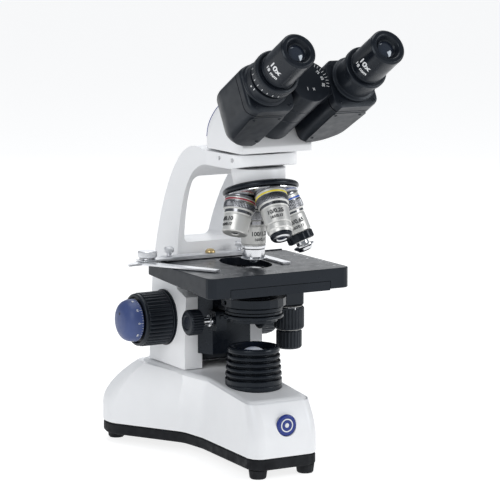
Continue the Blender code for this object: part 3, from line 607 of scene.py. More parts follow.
def build_power():
    """The inlet's pins, the switch's marks and the brightness wheel."""
    pins = [shift(x, 139.5, z) for x, z in ((15.5, 33.3), (22, 36.7), (28.5, 33.3))]
    show("inlet_pins", plates((1.6, 6.5, 3.6), pins), "stand", "satin_steel", bevel=0.3)
    place = AXIS @ shift(-22, 145, 35) @ spin(-6, "X") @ spin(-90, "X") @ spin(180, "Z")
    for name, letter, height in (("switch_line", "I", -3.6), ("switch_ring", "O", 3.6)):
        mark(name, lettering(letter, 4.2), "switch", place @ shift(0, height, 4.2))
    wheel = [(0, 6.7), (10.0, 6.7), (10.0, 4.4), (9.4, 3.8), (0, 3.8)]
    restyle("dimmer_wheel", turned(wheel, bands=[Band(10.4, 36, 0.45, 4.3, 6.6)]), "black_plastic",
            AXIS @ shift(-25, 110))


def build_lamp():
    """The lamp's finned collar, its lens and the bright rim between them."""
    fins = 5
    pitch = 4.6
    outer = [(17.9, LAMP_TOP), (19.4, LAMP_TOP - 0.4), (20.0, LAMP_TOP - 1.6)]
    for i in range(fins):
        top = LAMP_TOP - 2.0 - i * pitch
        radius = 20.0 + 0.42 * i
        outer += [(radius, top), (radius + 0.25, top - 1.6), (radius - 0.1, top - 2.5),
                  (radius - 2.8, top - 3.2), (radius - 2.8, top - 4.2), (radius + 0.1, top - 4.5)]
    outer += [(LAMP_RADIUS, 67.8), (LAMP_RADIUS, 64.6), (LAMP_RADIUS - 0.5, 64.2), (LAMP_RADIUS, 63.8),
              (LAMP_RADIUS, 60.3)]
    inner = [(8.0, 60.3), (8.0, 83.6), (9.6, 84.0), (9.6, 87.4), (10.6, 87.6), (13.6, 89.2), (16.2, 91.6),
             (17.0, LAMP_TOP - 0.3)]
    restyle("lamp_collar", hoop(outer + inner, soft=0.5), "black_metal")
    lens = [(0, 91.9), (3, 91.6), (6, 90.6), (8.4, 89.0), (9.3, 87.6), (9.3, 84.5), (0, 84.5)]
    restyle("field_lens", turned(lens, soft=0.8), "frosted")
    rim = [(9.5, 88.3), (10.5, 88.4), (10.5, 87.4), (9.5, 87.4)]
    show("lens_rim", hoop(rim, soft=0.15), "stand", "satin_chrome")


# -------- arm

def arm_outline():
    """The arm from the side, as (y, z): column, curved limb and head plate."""
    outline = [(COLUMN_FRONT_Y, COLUMN_FOOT), (COLUMN_REAR_Y, COLUMN_FOOT), (104.2, 134)]
    outline += bezier((104.2, 134), (98, 188), (74, 245.2), (38, 245.2), 32)
    outline += [(31, 245.0), (25, HEAD_SEAT), (-26.3, HEAD_SEAT), (-26.3, 235.4), (-13, 232.6), (20, 232.6)]
    outline += bezier((20, 232.6), (50, 231), (61, 200), (62.6, 158), 26)
    outline += [(62.6, 131), (COLUMN_FRONT_Y, 126)]
    return outline


def hand_opening():
    """The space inside the hoop, which widens towards the front."""
    sections = []
    for y, half in ((118, 6), (64, 27), (5, 27)):
        ring = rounded([(-half, 167, 4), (half, 167, 4), (half, 221, 5), (-half, 221, 5)], steps=6)
        sections.append([(x, y, z) for x, z in ring])
    return lofted(sections)


def build_arm():
    """The arm tapers upwards, is open for a hand and for the focus slide, and has two screw holes."""
    mesh = slab(arm_outline(), -COLUMN_HALF_WIDTH, COLUMN_HALF_WIDTH, "X")
    for vertex in mesh.vertices:
        share = (vertex.co.z / MM - COLUMN_FOOT) / (HEAD_SEAT - COLUMN_FOOT)
        half = COLUMN_HALF_WIDTH + (ARM_TOP_HALF_WIDTH - COLUMN_HALF_WIDTH) * share
        vertex.co.x *= half / COLUMN_HALF_WIDTH
    plan = rounded([(-27.5, -26.3, 13), (27.5, -26.3, 13), (30, 20, 40), (37, 60, 40), (37, 110, 0),
                    (-37, 110, 0), (-37, 60, 40), (-30, 20, 40)], steps=14)
    slot = block((-SLOT_HALF_WIDTH, 30, COLUMN_FOOT - 3), (SLOT_HALF_WIDTH, SLOT_BACK_Y, 150))
    hole = turned([(0, 40), (1.8, 40), (1.8, 23), (0, 23)], soft=0, steps=32)
    holes = [cut(hole, shift(0, y, z) @ ALONG_LEFT) for y, z in CLAMP_HOLES]
    body = carved(mesh, ("INTERSECT", slab(plan, 60, 260), Matrix()), cut(hand_opening()), cut(slot), *holes,
                  bevel=(2.4, 4, 60))
    restyle("arm", body, "white_paint")
    half = SLOT_HALF_WIDTH - 0.2
    lining = block((-half, SLOT_BACK_Y - 0.25, 70), (half, SLOT_BACK_Y - 0.05, 149.6))
    show("slot_lining", lining, "stand", "black_metal", bevel=0.05)


def build_clamp_screws():
    for name in ("head_clamp_screw_rear", "head_clamp_screw_front"):
        middle = node_middle(name)
        place = frame_along((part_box(name)[0].x / MM + 0.9, middle.y, middle.z), (-1, 0, 0))
        restyle(name, screw_head(1.75, 0.5), "black_metal", place)


# -------- focus

def drive_place(joint, turn):
    """The frame of a cross shaft, centred on the optical axis."""
    centre = joint_point(joint)
    return Matrix.Translation(Vector((AXIS.translation.x, centre.y * MM, centre.z * MM))) @ turn


def build_focus():
    inner, outer, radius = COARSE_INNER, COARSE_OUTER, COARSE_RADIUS
    knob = [(FINE_RADIUS + 0.5, outer - 2.2), (18.4, outer), (19.8, outer), (20.6, outer - 0.8),
            (20.6, outer - 2.6), (20.0, outer - 3.0), (20.0, inner + 2), (radius, inner + 1.5),
            (radius, inner + 0.6), (radius - 0.6, inner), (8.4, inner), (8.4, outer - 2.2)]
    grip = Band(radius, 38, 1.1, inner + 1.8, outer - 2.8)
    washer = [(22.0, inner - 0.05), (22.3, inner - 0.3), (22.3, inner - 1.2), (10, inner - 1.2),
              (10, inner - 0.05)]
    for side, turn in (("left", ALONG_LEFT), ("right", ALONG_RIGHT)):
        place = drive_place("coarse_turn", turn)
        restyle("coarse_knob_" + side, hoop(knob, bands=[grip]), "black_plastic", place)
        show("tension_ring_" + side, hoop(washer, soft=0.15), "stand", "black_plastic", place)
        tick = marks_round(20.55, [radians(100)], (0.6, 0.25, 1.9), outer - 1.7)
        mark("coarse_tick_" + side, tick, "coarse_knobs", place)
        build_fine_knob(side, place)


def build_fine_knob(side, place):
    """A domed knob with a scale of short and long lines, numbers and a finger pit."""
    inner = COARSE_OUTER + 0.3
    outer = FINE_OUTER
    dome = [(0, outer), (5, outer - 0.3), (9.5, outer - 1.1), (13.2, outer - 2.9), (15.2, outer - 5.0),
            (16.1, outer - 7.2), (16.5, outer - 9), (FINE_RADIUS, inner + 2.4), (FINE_RADIUS, inner),
            (12, inner), (12, inner - 2), (0, inner - 2)]
    restyle("fine_knob_" + side, turned(dome, soft=1.2), "blue_plastic", place)
    count = 50
    radius = FINE_RADIUS - 0.12
    body = "fine_knobs"
    short = [2 * pi * i / count for i in range(count) if i % 5]
    tall = [2 * pi * i / count for i in range(0, count, 5)]
    mark("fine_scale_short_" + side, marks_round(radius, short, (0.22, 0.3, 1.1), inner + 1.3), body, place)
    mark("fine_scale_long_" + side, marks_round(radius, tall, (0.3, 0.3, 1.9), inner + 1.7), body, place)
    for k in range(10):
        numeral = lettering(str(k * 10), 2.3, radius - 0.08, 2 * pi * k / 10, inner + 4.3)
        mark("fine_number_%s_%d" % (side, k), numeral, body, place)
    pit = [(0, 0.12), (0.9, 0.12), (1.1, 0.02), (1.1, -0.6), (0, -0.6)]
    show("fine_pit_" + side, turned(pit, soft=0.05, steps=24), body, "black_marks",
         place @ shift(6.0, 0, outer - 0.5) @ spin(10, "Y"))


# -------- stage

def build_stage_marks():
    """Index lines and numbers along the stage's right edge, and the bar at its back."""
    ticks = [shift(STAGE_HALF_WIDTH - 3.4, -30 + 5 * i, STAGE_TOP + 0.03) for i in range(14)]
    mark("stage_scale", plates((3.2, 0.55, 0.06), ticks), "stage")
    for k in range(4):
        place = AXIS @ shift(STAGE_HALF_WIDTH - 7.4, -30 + 20 * k, STAGE_TOP) @ spin(90, "Z")
        mark("stage_number_%d" % k, lettering(str(10 * (k + 1)), 2.6, thick=0.05), "stage", place)
    lip = block((-STAGE_HALF_WIDTH + 2, STAGE_BACK_Y - 1.6, STAGE_TOP - 0.5),
                (STAGE_HALF_WIDTH - 2, STAGE_BACK_Y - 0.2, STAGE_TOP + 0.9))
    show("stage_back_lip", lip, "stage", "stage_black", bevel=0.25)


def knurled_screw(radius, low, high, neck_radius, neck_low):
    head = [(0, high), (radius - 0.9, high), (radius - 0.35, high - 0.5), (radius - 0.35, low + 0.5),
            (radius - 0.9, low), (neck_radius, low), (neck_radius, neck_low), (0, neck_low)]
    grip = Band(radius, int(radius * 7), 0.4, low + 0.4, high - 0.4)
    return turned(head, soft=0.25, bands=[grip], steps=72)


def build_holder():
    for side in ("left", "right"):
        centre = joint_point(side + "_thumb_screw_turn")
        restyle("thumb_screw_" + side, knurled_screw(3.9, 161.6, 166, 2.2, 159.1), "satin_steel",
                shift(centre.x, centre.y))
    centre = joint_point("finger_swing")
    place = shift(centre.x, centre.y)
    restyle("finger_knob", knurled_screw(7.5, 160, 165.2, 5.6, 158.9), "satin_steel", place)
    washer = [(6.2, 159.6), (6.2, 158.9), (0, 158.9), (0, 159.6)]
    show("finger_washer", turned(washer, soft=0.1), "finger", "chrome", place)
    stop = [(0, 161.0), (1.2, 161.0), (1.3, 162.1), (2.6, 161.8), (3.7, 160.6), (4.0, 159.8), (4.0, 159.1),
            (0, 159.1)]
    middle = node_middle("holder_stop_screw")
    restyle("holder_stop_screw", turned(stop, soft=0.25), "brass", shift(middle.x, middle.y))


def build_stage_knobs():
    """Two coaxial drop knobs, with a bright line above each."""
    centre = joint_point("y_knob_turn")
    place = shift(centre.x, centre.y)
    upper = [(3, 116.0), (10.8, 116.0), (11.5, 115.3), (11.5, 98.5), (10.8, 97.8), (3, 97.8)]
    restyle("stage_y_knob", hoop(upper, bands=[Band(12, 26, 0.75, 98.6, 115.2)]),
            "black_plastic", place)
    lower = [(0, 100), (2.6, 100), (2.6, 97.2), (9.2, 97.2), (9.8, 96.5), (9.8, 83.2), (8.6, 82.2), (0, 82.2)]
    restyle("stage_x_knob", turned(lower, bands=[Band(10.2, 22, 0.7, 83.2, 96.6)]), "black_plastic", place)
    lines = (("upper_line", 10.9, 116.05, "stage"), ("lower_line", 10.0, 97.4, "y_knob"))
    for name, radius, height, body in lines:
        ring = [(radius, height + 0.3), (radius, height), (3.2, height), (3.2, height + 0.3)]
        show(name, hoop(ring, soft=0.08), body, "satin_chrome", place)


# -------- condenser

def build_condenser():
    body = [(9.2, 153.5), (10, 152.6), (10, 147.5), (12, 146.5), (12, 134), (19, 132.5), (19, 125),
            (22.2, 124.6), (22.6, 124.2), (22.6, 121.6), (20.2, 121.1), (20.2, 118.9), (22.8, 118.6),
            (23.2, 118.1), (23.2, 116.4), (22.4, 115.7), (15, 115.7), (15, 120), (7.5, 132), (7.5, 150),
            (8.4, 150.4), (8.4, 153.5)]
    restyle("condenser_body", hoop(body), "black_metal")
    lens = [(0, 154.4), (2.5, 154.25), (5, 153.9), (7, 153.3), (8.1, 152.8), (8.1, 150.8), (0, 150.8)]
    restyle("condenser_lens", turned(lens, soft=0.5), "glass")


def build_filter_and_iris():
    glass = [(0, 113.9), (14.3, 113.9), (14.3, 112.9), (0, 112.9)]
    show("daylight_filter", turned(glass, soft=0.2), "filter", "blue_filter")
    turn = spin(-12, "Z")
    grip = plates((6.5, 2.2, 0.8), [turn @ shift(30.6, 0, 119.6 + 0.55 * i) for i in range(3)])
    show("iris_grip", grip, "iris", "satin_steel", bevel=0.15)


def build_condenser_screw():
    """A brass clamp screw with a hollow, a black disc in it as painted shade, and a white ring on its end as a
    painted highlight.
    """
    middle = node_middle("condenser_clamp_screw")
    place = frame_along((AXIS.translation.x / MM, middle.y, middle.z), (-1, 0, 0))
    screw = [(0, 29.6), (1.2, 29.8), (1.4, 31), (2.4, 31), (2.9, 30.4), (2.9, 25.6), (1.6, 25.6), (1.6, 19.7),
             (0, 19.7)]
    grip = Band(3.4, 20, 0.5, 25.8, 30.2)
    restyle("condenser_clamp_screw", turned(screw, soft=0.2, bands=[grip], steps=64), "brass", place)
    # A black disc over the screw's hollow: painted shade in the hole.
    socket = [(0, 31.15), (1.3, 31.15), (1.4, 30.6), (0, 30.6)]
    show("clamp_screw_socket_shade", turned(socket, soft=0.05, steps=6), "condenser_screw", "black_marks", place)
    # A white ring on the screw's end: a painted highlight that stands in for the light its brass end catches.
    face = [(1.4, 31.1), (2.5, 31.1), (2.7, 30.8), (1.4, 30.8)]
    mark("clamp_screw_painted_highlight", hoop(face, soft=0.05), "condenser_screw", place)


def build_condenser_knob():
    """One shaft across the column with a knob on each end."""
    place = drive_place("condenser_turn", ALONG_LEFT)
    body = "condenser_drive"
    knob = [(0, 42.7), (5.2, 42.7), (5.8, 43.5), (8.6, 43.1), (9.3, 41.9), (9.3, 33), (8.4, 32), (2.8, 32),
            (2.8, -19.4), (8.4, -19.4), (9.3, -20.4), (9.3, -28.8), (8.4, -30.2), (5.8, -30.8), (5.2, -30.2),
            (0, -30.2)]
    bands = [Band(10, 28, 0.8, 32.6, 42.6), Band(10, 28, 0.8, -29.6, -20)]
    restyle("condenser_knob", turned(knob, bands=bands), "black_plastic", place)
    cap = [(0, 43.0), (4.6, 42.95), (5.0, 42.7), (0, 42.6)]
    show("condenser_knob_cap", turned(cap, soft=0.15), body, "black_metal", place)
    sleeve = [(3.4, 31.9), (3.4, 24.2), (4.6, 24.0), (4.6, 22.6), (2.9, 22.6), (2.9, 31.9)]
    show("condenser_shaft", hoop(sleeve, soft=0.2), body, "chrome", place)


# -------- nosepiece

def build_nosepiece():
    """The white mount, the fixed disc and the turret, with a seat for each objective."""
    mount = carved(turned([(0, 36), (21.5, 36), (20.5, 20), (19.5, 11.2), (0, 11.2)], soft=0.3),
                   cut(block((-60, -60, 232.25), (60, 60, 290)), NOSE.inverted() @ AXIS))
    restyle("nosepiece_mount", mount, "white_paint", NOSE)
    disc = [(0, 10.9), (24.8, 10.9), (27.4, 10.2), (28.8, 9.0), (29.2, 7.4), (28.6, 6.1), (27.8, 5.8),
            (0, 5.8)]
    restyle("nosepiece_disc", turned(disc, soft=0.8), "black_metal", NOSE)
    cone = [(radius, (radius - SEAT_RADIUS) * tan(NOSE_TILT) + 0.5) for radius in (TURRET_RADIUS, 0)]
    body = [(0, 5.5), (27.2, 5.5), (TURRET_RADIUS, 4.9), (TURRET_RADIUS, 4.4), *cone]
    restyle("turret", turned(body), "chrome", NOSE)
    # The seats take the darker chrome as painted shade between the turret and the objectives.
    seat = [(0, 1.4), (12.2, 1.4), (12.4, 1.2), (12.4, 0.2), (12.2, 0), (0, 0)]
    for quarter, name in enumerate(OBJECTIVES):
        show("seat_" + name, turned(seat, soft=0.1), "nosepiece", "shaded_chrome", objective_frame(quarter))


OBJECTIVES = ("100x", "4x", "10x", "40x")
# Profiles run down from the seat. The grip is (low, high), marking and height are the numbers and how high
# they stand, skin is the barrel's radius there, and facing turns them, in degrees.
Objective = namedtuple("Objective", "barrel grip ring marking height skin facing")
OBJECTIVE_LOOKS = {
    "4x": Objective(
        [(11.7, -0.3), (11.7, -9), (10.6, -9.6), (10.6, -12.4), (10.0, -12.8), (10.0, -13.4), (10.4, -13.8),
         (9.6, -26.1), (9.2, -26.5), (6.6, -26.5), (6.2, -25.9), (0, -25.9)],
        (-8.4, -3.6), "red_band", "4/0.10", -17.6, 10.35, -75),
    "10x": Objective(
        [(12, -0.3), (12, -9.6), (10.8, -10.4), (10.8, -13.4), (10.2, -13.8), (10.2, -14.4), (10.5, -14.8),
         (9.9, -26.4), (9.3, -26.8), (9.3, -27.4), (9.9, -27.8), (9.7, -31.4), (8.9, -32.2), (8.2, -35.6),
         (7.2, -37.2), (5.4, -37.2), (4.8, -36.4), (0, -36.4)],
        (-9.2, -4.4), "yellow_band", "10/0.25", -18.6, 10.5, -30),
    "40x": Objective(
        [(12, -0.3), (12, -11.4), (10.8, -12.2), (10.8, -14.4), (10.2, -14.8), (10.2, -15.4), (10.6, -15.8),
         (10.4, -28.6), (9.4, -29.2), (9.4, -35), (9, -36), (5.2, -36), (5.2, -31), (0, -31)],
        (-10.8, -4.8), "blue_band", "40/0.65", -20.6, 10.65, -22),
    "100x": Objective(
        [(12, -0.3), (12, -11.4), (10.6, -12.2), (10.4, -15.4), (9.6, -15.8), (9.6, -16.4), (9.9, -16.8),
         (9.5, -30.4), (9.1, -30.7), (9.1, -31.3), (9.3, -31.6), (9.3, -34), (9.0, -34), (9.0, -31.2),
         (6.2, -31.2), (6.2, -29), (0, -29)],
        (-10.8, -4.8), "black_plastic", "100/1.25", -22.4, 9.75, 5),
}
NOSES = {
    "40x": [(0, -34.2), (4.9, -34.2), (4.9, -38.4), (7.4, -38.6), (8.0, -39.0), (8.0, -40.2), (6.4, -41.4),
            (5, -43.2), (2.6, -43.8), (1.8, -43.3), (0, -43.3)],
    "100x": [(0, -31.6), (5.9, -31.6), (5.9, -34.3), (8.7, -34.5), (8.7, -40.4), (8.3, -40.8), (8.3, -41.2),
             (9.6, -41.5), (9.6, -42.4), (7, -43.0), (3, -45), (1.6, -45), (1.2, -44.6), (0, -44.6)],
}
LOWER_GRIP = Band(10.5, 8, 0.9, -35.6, -29.3)  # on the 40x alone
# Closing pieces at the lower ends, as (piece, finish, softening, profile).
FRONT_ENDS = {
    "4x": [("front_face", "satin_chrome", 0.1,
            [(9.15, -26.45), (9.15, -26.7), (3.4, -26.7), (3.0, -26.1), (3.0, -26.0)]),
           ("front_lens", "glass", 0.2, [(0, -26.5), (1.8, -26.35), (3.1, -26.0)])],
    "10x": [("front_edge", "black_metal", 0.2,
             [(8.5, -34.4), (8.35, -35.8), (7.4, -37.35), (6.6, -37.35), (6.6, -37.1)]),
            ("front_cone", "chrome", 0.15, [(6.6, -37.3), (4.4, -37.5), (3.6, -36.9)]),
            ("front_lens", "glass", 0.4, [(0, -37.2), (2.4, -37.1), (3.7, -36.9)])],
    "40x": [],
    "100x": [("lower_band", "chrome", 0.15, [(9.3, -31.7), (9.4, -31.9), (9.4, -33.9), (9.1, -34.05)])],
}


def build_objective(quarter, name):
    """A chromed barrel with a knurled collar, a color ring and its engraved numbers."""
    place = objective_frame(quarter)
    look = OBJECTIVE_LOOKS[name]
    radius = look.barrel[0][0]
    low, high = look.grip

    def add(piece, mesh, finish):
        show("%s_%s" % (piece, name), mesh, "nosepiece", finish, place)

    profile = [(0, 1.8), (8.5, 1.8), (8.5, -0.3)] + look.barrel
    restyle("objective_" + name, turned(profile, soft=0.25), "satin_chrome", place)
    # The collar and the neck take the darker chrome as painted shade under the turret.
    collar = [(radius - 0.4, high + 0.8), (radius + 0.1, high + 0.6), (radius + 0.1, low - 0.4),
              (radius - 0.4, low - 0.6)]
    add("collar", turned(collar, bands=[Band(radius + 0.35, 60, 0.3, low, high)]), "shaded_chrome")
    upper, lower = look.barrel[2:4]
    neck = [(upper[0] + 0.05, upper[1] - 0.3), (lower[0] + 0.05, lower[1] + 0.3)]
    add("neck", turned(neck, soft=0), "shaded_chrome")
    ring = [(radius + 0.2, high + 2.2), (radius + 0.2, high + 1.0), (radius - 1.2, high + 1.0),
            (radius - 1.2, high + 2.2)]
    add("color_ring", hoop(ring, soft=0.12), look.ring)
    facing = radians(look.facing) + NOSE_TURN - quarter * pi / 2
    for number in range(2):
        around = facing + pi * number
        numbers = (("marking", look.marking, 4.5, look.skin, look.height),
                   ("tube_marking", "160/0.17", 3.0, look.skin - 0.15, look.height - 4.4))
        for piece, words, size, skin, height in numbers:
            mesh = lettering(words, size, skin, around, height)
            show("%s_%s_%d" % (piece, name, number), mesh, "nosepiece", "black_marks", place)
    if name in NOSES:
        restyle("nose_" + name, turned(NOSES[name], soft=0.25), "chrome", place)
    for piece, finish, soft, profile in FRONT_ENDS[name]:
        add(piece, turned(profile, soft=soft), finish)
    if name == "40x":
        shape = bmesh.new()
        add_band(shape, LOWER_GRIP)
        add("lower_grip", smooth_mesh(shape), "black_metal")


# -------- head

# The head casting's level sections, as (height, half width, rear y), and the most its corners are rounded.
HEAD_ROWS = [(246, 31, 35), (254, 31, 35), (262, 30.4, 34), (270, 29, 30.5), (278, 26.6, 24.5),
             (285, 23.4, 16), (291, 19, 6), (295.5, 13, -4)]
HEAD_CORNER = 24


def head_sections():
    """Level rings of the head casting."""
    rings = []
    for z, half, rear in through(HEAD_ROWS):
        corner = min(half - 2, HEAD_CORNER)
        ring = rounded([(-half, HEAD_FRONT_Y, 3), (half, HEAD_FRONT_Y, 3), (half, rear, corner),
                        (-half, rear, corner)], steps=12)
        rings.append([(x, y, z) for x, y in ring])
    return rings


def head_trim():
    """A blue back panel that wraps round the head's two rear corners."""
    turns = [(side, radians(64) * (12 - k if side < 0 else k) / 12) for side in (-1, 1) for k in range(13)]
    sections = []
    for z, half, rear in through(HEAD_ROWS[1:-1]):
        corner = min(half - 2, HEAD_CORNER)
        arcs = []
        for reach in (corner + 0.45, corner - 1.5):
            arcs.append([(side * (half - corner) + reach * sin(side * turn),
                          rear - corner + reach * cos(turn), z) for side, turn in turns])
        sections.append(arcs[0] + arcs[1][::-1])
    return lofted(sections)


def build_head():
    tube_face = cut(block((-80, -80, HEAD_FACE), (80, 80, 140)), AXIS.inverted() @ TUBE)
    restyle("head_trim", carved(head_trim(), tube_face), "badge_blue", bevel=0.4)
    restyle("head_shell", carved(lofted(head_sections()), tube_face, bevel=(0.9, 4, 45)), "white_paint")
    collar = [(24, 247), (24, 244.2), (23.6, 243.8), (11, 243.8), (11, 247)]
    show("head_dovetail", hoop(collar, soft=0.15), "head", "black_metal")
    hub = [(0, 92), (6.8, 92), (6.8, 60), (HUB_RADIUS - 0.4, 60), (HUB_RADIUS, 59.5), (HUB_RADIUS, 30.4),
           (0, 30.4)]
    restyle("hinge_hub", turned(hub), "black_plastic", TUBE)


def prism_ring(side, edge, depth):
    """One section of a prism arm, across its depth: edge 0 is full size, and 1 is drawn in."""
    inner = ARM_INNER + 5 * edge
    outer = ARM_OUTER - 8 * edge
    rear = ARM_LOW + 1.5 * edge
    ring = rounded([(inner, rear, 2.5), (outer, rear, 30 - 8 * edge), (outer, ARM_HIGH - 0.6 * edge, 3),
                    (inner, ARM_HIGH - 0.6 * edge, 1)], steps=10)
    return [(side * x, -depth * ARM_HALF_DEPTH - ARM_DROP, t) for x, t in ring]


def prism_arm_mesh(side, collar):
    """A pillow-shaped arm with a seam near its end face, joined to its collar of the hinge."""
    count = 24
    sections = []
    for i in range(count + 1):
        depth = cos(pi * i / count)
        edge = max(0, (abs(depth) - 0.5) / 0.5) ** 3.4
        sections.append(prism_ring(side, edge, depth))
    low, high = collar
    barrel = turned([(0, low), (HUB_RADIUS - 0.4, low), (HUB_RADIUS, low + 0.4), (HUB_RADIUS, high - 0.4),
                     (HUB_RADIUS - 0.4, high), (0, high)], soft=0)

    def across(near, far, half_depth, bottom, top):
        return block((min(side * near, side * far), -half_depth, bottom),
                     (max(side * near, side * far), half_depth, top))

    web = across(10, 22, 10, low + 0.4, min(high, ARM_HIGH) - 0.4)
    bore = turned([(0, low - 5), (7.1, low - 5), (7.1, 92.5), (0, 92.5)], soft=0)
    seam = across(16.8, 70, 60, SEAM_HEIGHT, SEAM_HEIGHT + 0.8)
    core = lofted([[(side * (abs(x) - 0.7), y * 0.965 - 0.08, t) for x, y, t in prism_ring(side, 1, depth)]
                   for depth in (0.93, -0.93)])
    return carved(lofted(sections), cut(seam), join(core), join(barrel), join(web), cut(bore))


def build_prism_arms():
    """The two arms, each with a cover plate on its front and small screws."""
    restyle("left_prism_arm", prism_arm_mesh(-1, (60.3, 76.0)), "black_plastic", TUBE)
    restyle("right_prism_arm", prism_arm_mesh(1, (76.3, 97.0)), "black_plastic", TUBE)
    panel = rounded([(21, 37, 3), (46, 37, 16), (49.5, 84, 3), (21, 84, 3)], steps=6)
    flat = TUBE @ shift(0, -ARM_HALF_DEPTH - ARM_DROP + 0.1) @ spin(90, "X")
    for name, side in SIDES:
        body = name + "_arm"
        cover = slab([(side * x, t) for x, t in panel], 0, 0.35)
        show(body + "_cover", cover, body, "black_plastic", flat, bevel=0.12)
        for number, (x, t) in enumerate(((24, 80), (24, 41), (45, 80))):
            show("%s_cover_screw_%d" % (name, number), screw_head(1.3, 0.35), body, "black_metal",
                 flat @ shift(side * x, t, 0.35))
        for number, (x, v) in enumerate(((21.5, -16.6), (21.5, 12), (50, -16.6))):
            show("%s_face_screw_%d" % (name, number), screw_head(1.5, 0.25), body, "black_metal",
                 TUBE @ shift(side * x, v, ARM_HIGH - 0.1))


def build_pupil_scale():
    """Interpupillary scale on the hinge's end face: lines, numbers and an index."""
    top = 97.0
    lines = []
    for k in range(9):
        turn = spin(-50, "Z") @ spin(-60 + 10 * k, "Z")
        lines.append(turn @ shift(0, HUB_RADIUS - 2.4, top + 0.02))
    mark("pupil_scale", plates((0.35, 2.4, 0.08), lines), "right_arm", TUBE)
    for k, numeral in enumerate(("55", "65", "75")):
        place = TUBE @ spin(-110 + 30 * k, "Z") @ shift(0, HUB_RADIUS - 6.0, top)
        mark("pupil_number_" + numeral, lettering(numeral, 3.0), "right_arm", place)
    tip = shift(1, -6.5, top + 0.02)
    slant = Matrix.Rotation(0.7, 4, "Z")
    strokes = [shift(-4, -6, top + 0.02), tip @ slant, tip @ slant.inverted()]
    mark("pupil_index", plates((0.4, 2.6, 0.08), strokes), "right_arm", TUBE)


def build_tubes():
    """Eyepiece tubes: the left one has the dioptre ring with its scale."""
    left = TUBE @ shift(-HALF_PUPIL)
    right = TUBE @ shift(HALF_PUPIL)
    base = ARM_HIGH + 0.3
    high = EYEPIECE_BASE - 0.3
    foot = [(17.6, 97.4), (18, 96.8), (18, base)]
    socket = [(16.2, 104.8), (16.6, 97.9), *foot, (14.8, base), (14.8, 104.8), (16.6, 104.4)]
    restyle("left_tube", hoop(socket, soft=0.3), "black_plastic", left)
    sleeve = [(14.4, high - 0.4), (14.4, 98.5), (11.8, 98.5), (11.8, high - 0.4)]
    restyle("diopter_sleeve", hoop(sleeve), "black_metal", left)
    radius = RING_RADIUS - 0.3
    ring = [(15.9, high), (16.7, high - 0.2), (radius, high - 1), (radius, 108.6), (16.9, 108), (14.7, 108),
            (14.7, high)]
    grip = Band(RING_RADIUS, 60, 0.4, 112.2, high - 1.1)
    restyle("diopter_ring", hoop(ring, bands=[grip]), "black_plastic", left)
    angles = [radians(-110 + 15 * k) for k in range(8)]
    mark("diopter_lines", marks_round(RING_RADIUS - 0.25, angles, (0.4, 0.2, 1.8), 110.4), "diopter", left)
    mark("diopter_index", marks_round(16.55, [radians(-65)], (0.5, 0.2, 2.4), 103), "left_arm", left)
    mark("diopter_zero", lettering("0", 2.4, 16.6, radians(-76), 102), "left_arm", left)
    tube = [(15.2, high), (16.2, high - 0.1), (16.8, high - 0.8), (16.8, 113.2), (16.4, 112.6), (15.5, 112),
            (15.5, 98.2), *foot, (11.8, base), (11.8, high)]
    restyle("right_tube", hoop(tube, soft=0.4), "black_plastic", right)


def build_eyepieces():
    """Barrels with an eye lens and engraved numbers. Their meshes are made in place, not moved there."""
    top, base, radius = EYEPIECE_TOP, EYEPIECE_BASE, EYEPIECE_RADIUS
    barrel = [(0, top - 4.4), (6.6, top - 4.4), (7.6, top - 3.2), (9.2, top - 0.5), (10, top - 0.05),
              (12.4, top - 0.05), (radius - 0.1, top - 1.3), (radius, base + 3), (radius - 0.5, base + 2.6),
              (radius - 0.5, base + 1.9), (radius, base + 1.6), (radius, base), (11.5, base), (11.5, 86),
              (0, 86)]
    lens = [(0, top - 2.9), (2.4, top - 3.05), (4.6, top - 3.5), (6.5, top - 4.3)]
    rim = [(7.5, top - 3.3), (6.6, top - 4.1), (6.3, top - 4.1), (7.2, top - 3.0)]
    for side, sign in SIDES:
        place = TUBE @ shift(sign * HALF_PUPIL)
        body = side + "_eyepiece"
        mesh = turned(barrel, soft=0.3)
        mesh.transform(place)
        restyle(body, mesh, "black_metal", Matrix.Identity(4))
        show(side + "_eye_lens", turned(lens, soft=0.6), body, "glass", place)
        show(side + "_lens_rim", hoop(rim, soft=0.1), body, "black_metal", place)
        mark(side + "_power_mark", lettering("10x", 7.2, radius, radians(-66), base + 16), body, place)
        mark(side + "_field_mark", lettering("18 mm", 4.4, radius, radians(-66), base + 9.4), body, place)


# -------- nodes shown as the CAD has them

KEPT_NODES = {
    "black_plastic": ("power_inlet", "power_switch", "stage_knob_block"),
    "black_metal": ("focus_guide", "focus_slide", "stage_bracket", "lower_stage_plate", "condenser_holder",
                    "filter_holder", "iris_lever"),
    "stage_black": ("stage_plate",),
    "satin_steel": ("slide_holder", "slide_finger"),
    "rubber": ("base_plate", "foot_front_left", "foot_front_right", "foot_rear_left", "foot_rear_right"),
}


def finish_kept_nodes():
    for finish, nodes in KEPT_NODES.items():
        for node in nodes:
            obj = frame["nodes"][node]
            paint(obj, finish)
            add_bevel(obj, 0.25, 2, 40)


# -------- studio

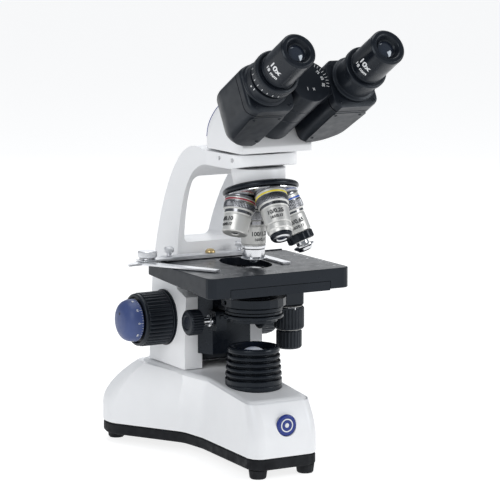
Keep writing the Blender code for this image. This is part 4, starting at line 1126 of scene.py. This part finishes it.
def build_studio():
    """A pale floor that glows a little, a cool world and four soft lights."""
    shape = bmesh.new()
    bmesh.ops.create_grid(shape, x_segments=1, y_segments=1, size=40)
    mesh = bpy.data.meshes.new("floor")
    shape.to_mesh(mesh)
    shape.free()
    floor = add_object("floor", mesh)
    paint(floor, "paper")
    glow = {"Emission Color": (1, 1, 1, 1), "Emission Strength": 0.82}
    set_inputs(finishes["paper"].node_tree.nodes["Principled BSDF"], glow)
    world = bpy.data.worlds.new("studio")
    world.use_nodes = True
    set_inputs(world.node_tree.nodes["Background"], {"Color": (0.86, 0.92, 1.0, 1), "Strength": 0.3})
    bpy.context.scene.world = world
    bpy.context.scene.view_settings.view_transform = "Standard"
    add_softbox("key", (-1.3, -0.9, 1.1), 0.9, 10.5)
    add_softbox("fill", (1.4, -1.3, 0.9), 0.8, 14)
    add_softbox("top", (0.1, 0.3, 1.9), 1.3, 15)
    add_softbox("rear", (0.9, 1.4, 0.9), 0.9, 3.5)


def add_softbox(name, place, size, power):
    """A square light, with its place and size in metres, aimed at the middle of the object."""
    light = bpy.data.lights.new(name, "AREA")
    light.shape = "SQUARE"
    light.size = size
    light.energy = power
    lamp = add_object(name, light)
    lamp.location = place
    lamp.rotation_euler = (Vector((0, 0, 0.15)) - Vector(place)).to_track_quat("-Z", "Y").to_euler()


def build_camera():
    camera = add_object("camera", bpy.data.cameras.new("camera"))
    level = cos(CAMERA_ELEVATION)
    forward = Vector((sin(CAMERA_AZIMUTH) * level, cos(CAMERA_AZIMUTH) * level, -sin(CAMERA_ELEVATION)))
    camera.location = (Vector(CAMERA_AIM) - forward * CAMERA_DISTANCE) * MM
    camera.rotation_euler = forward.to_track_quat("-Z", "Y").to_euler()
    camera.data.lens = CAMERA_LENS
    camera.data.sensor_width = 36
    camera.data.clip_end = 200
    bpy.context.scene.camera = camera


build_camera()
build_studio()
build_base()
build_badge()
build_power()
build_lamp()
build_arm()
build_clamp_screws()
build_focus()
build_stage_marks()
build_holder()
build_stage_knobs()
build_condenser()
build_condenser_screw()
build_filter_and_iris()
build_condenser_knob()
build_nosepiece()
for quarter, name in enumerate(OBJECTIVES):
    build_objective(quarter, name)
build_head()
build_prism_arms()
build_pupil_scale()
build_tubes()
build_eyepieces()
finish_kept_nodes()
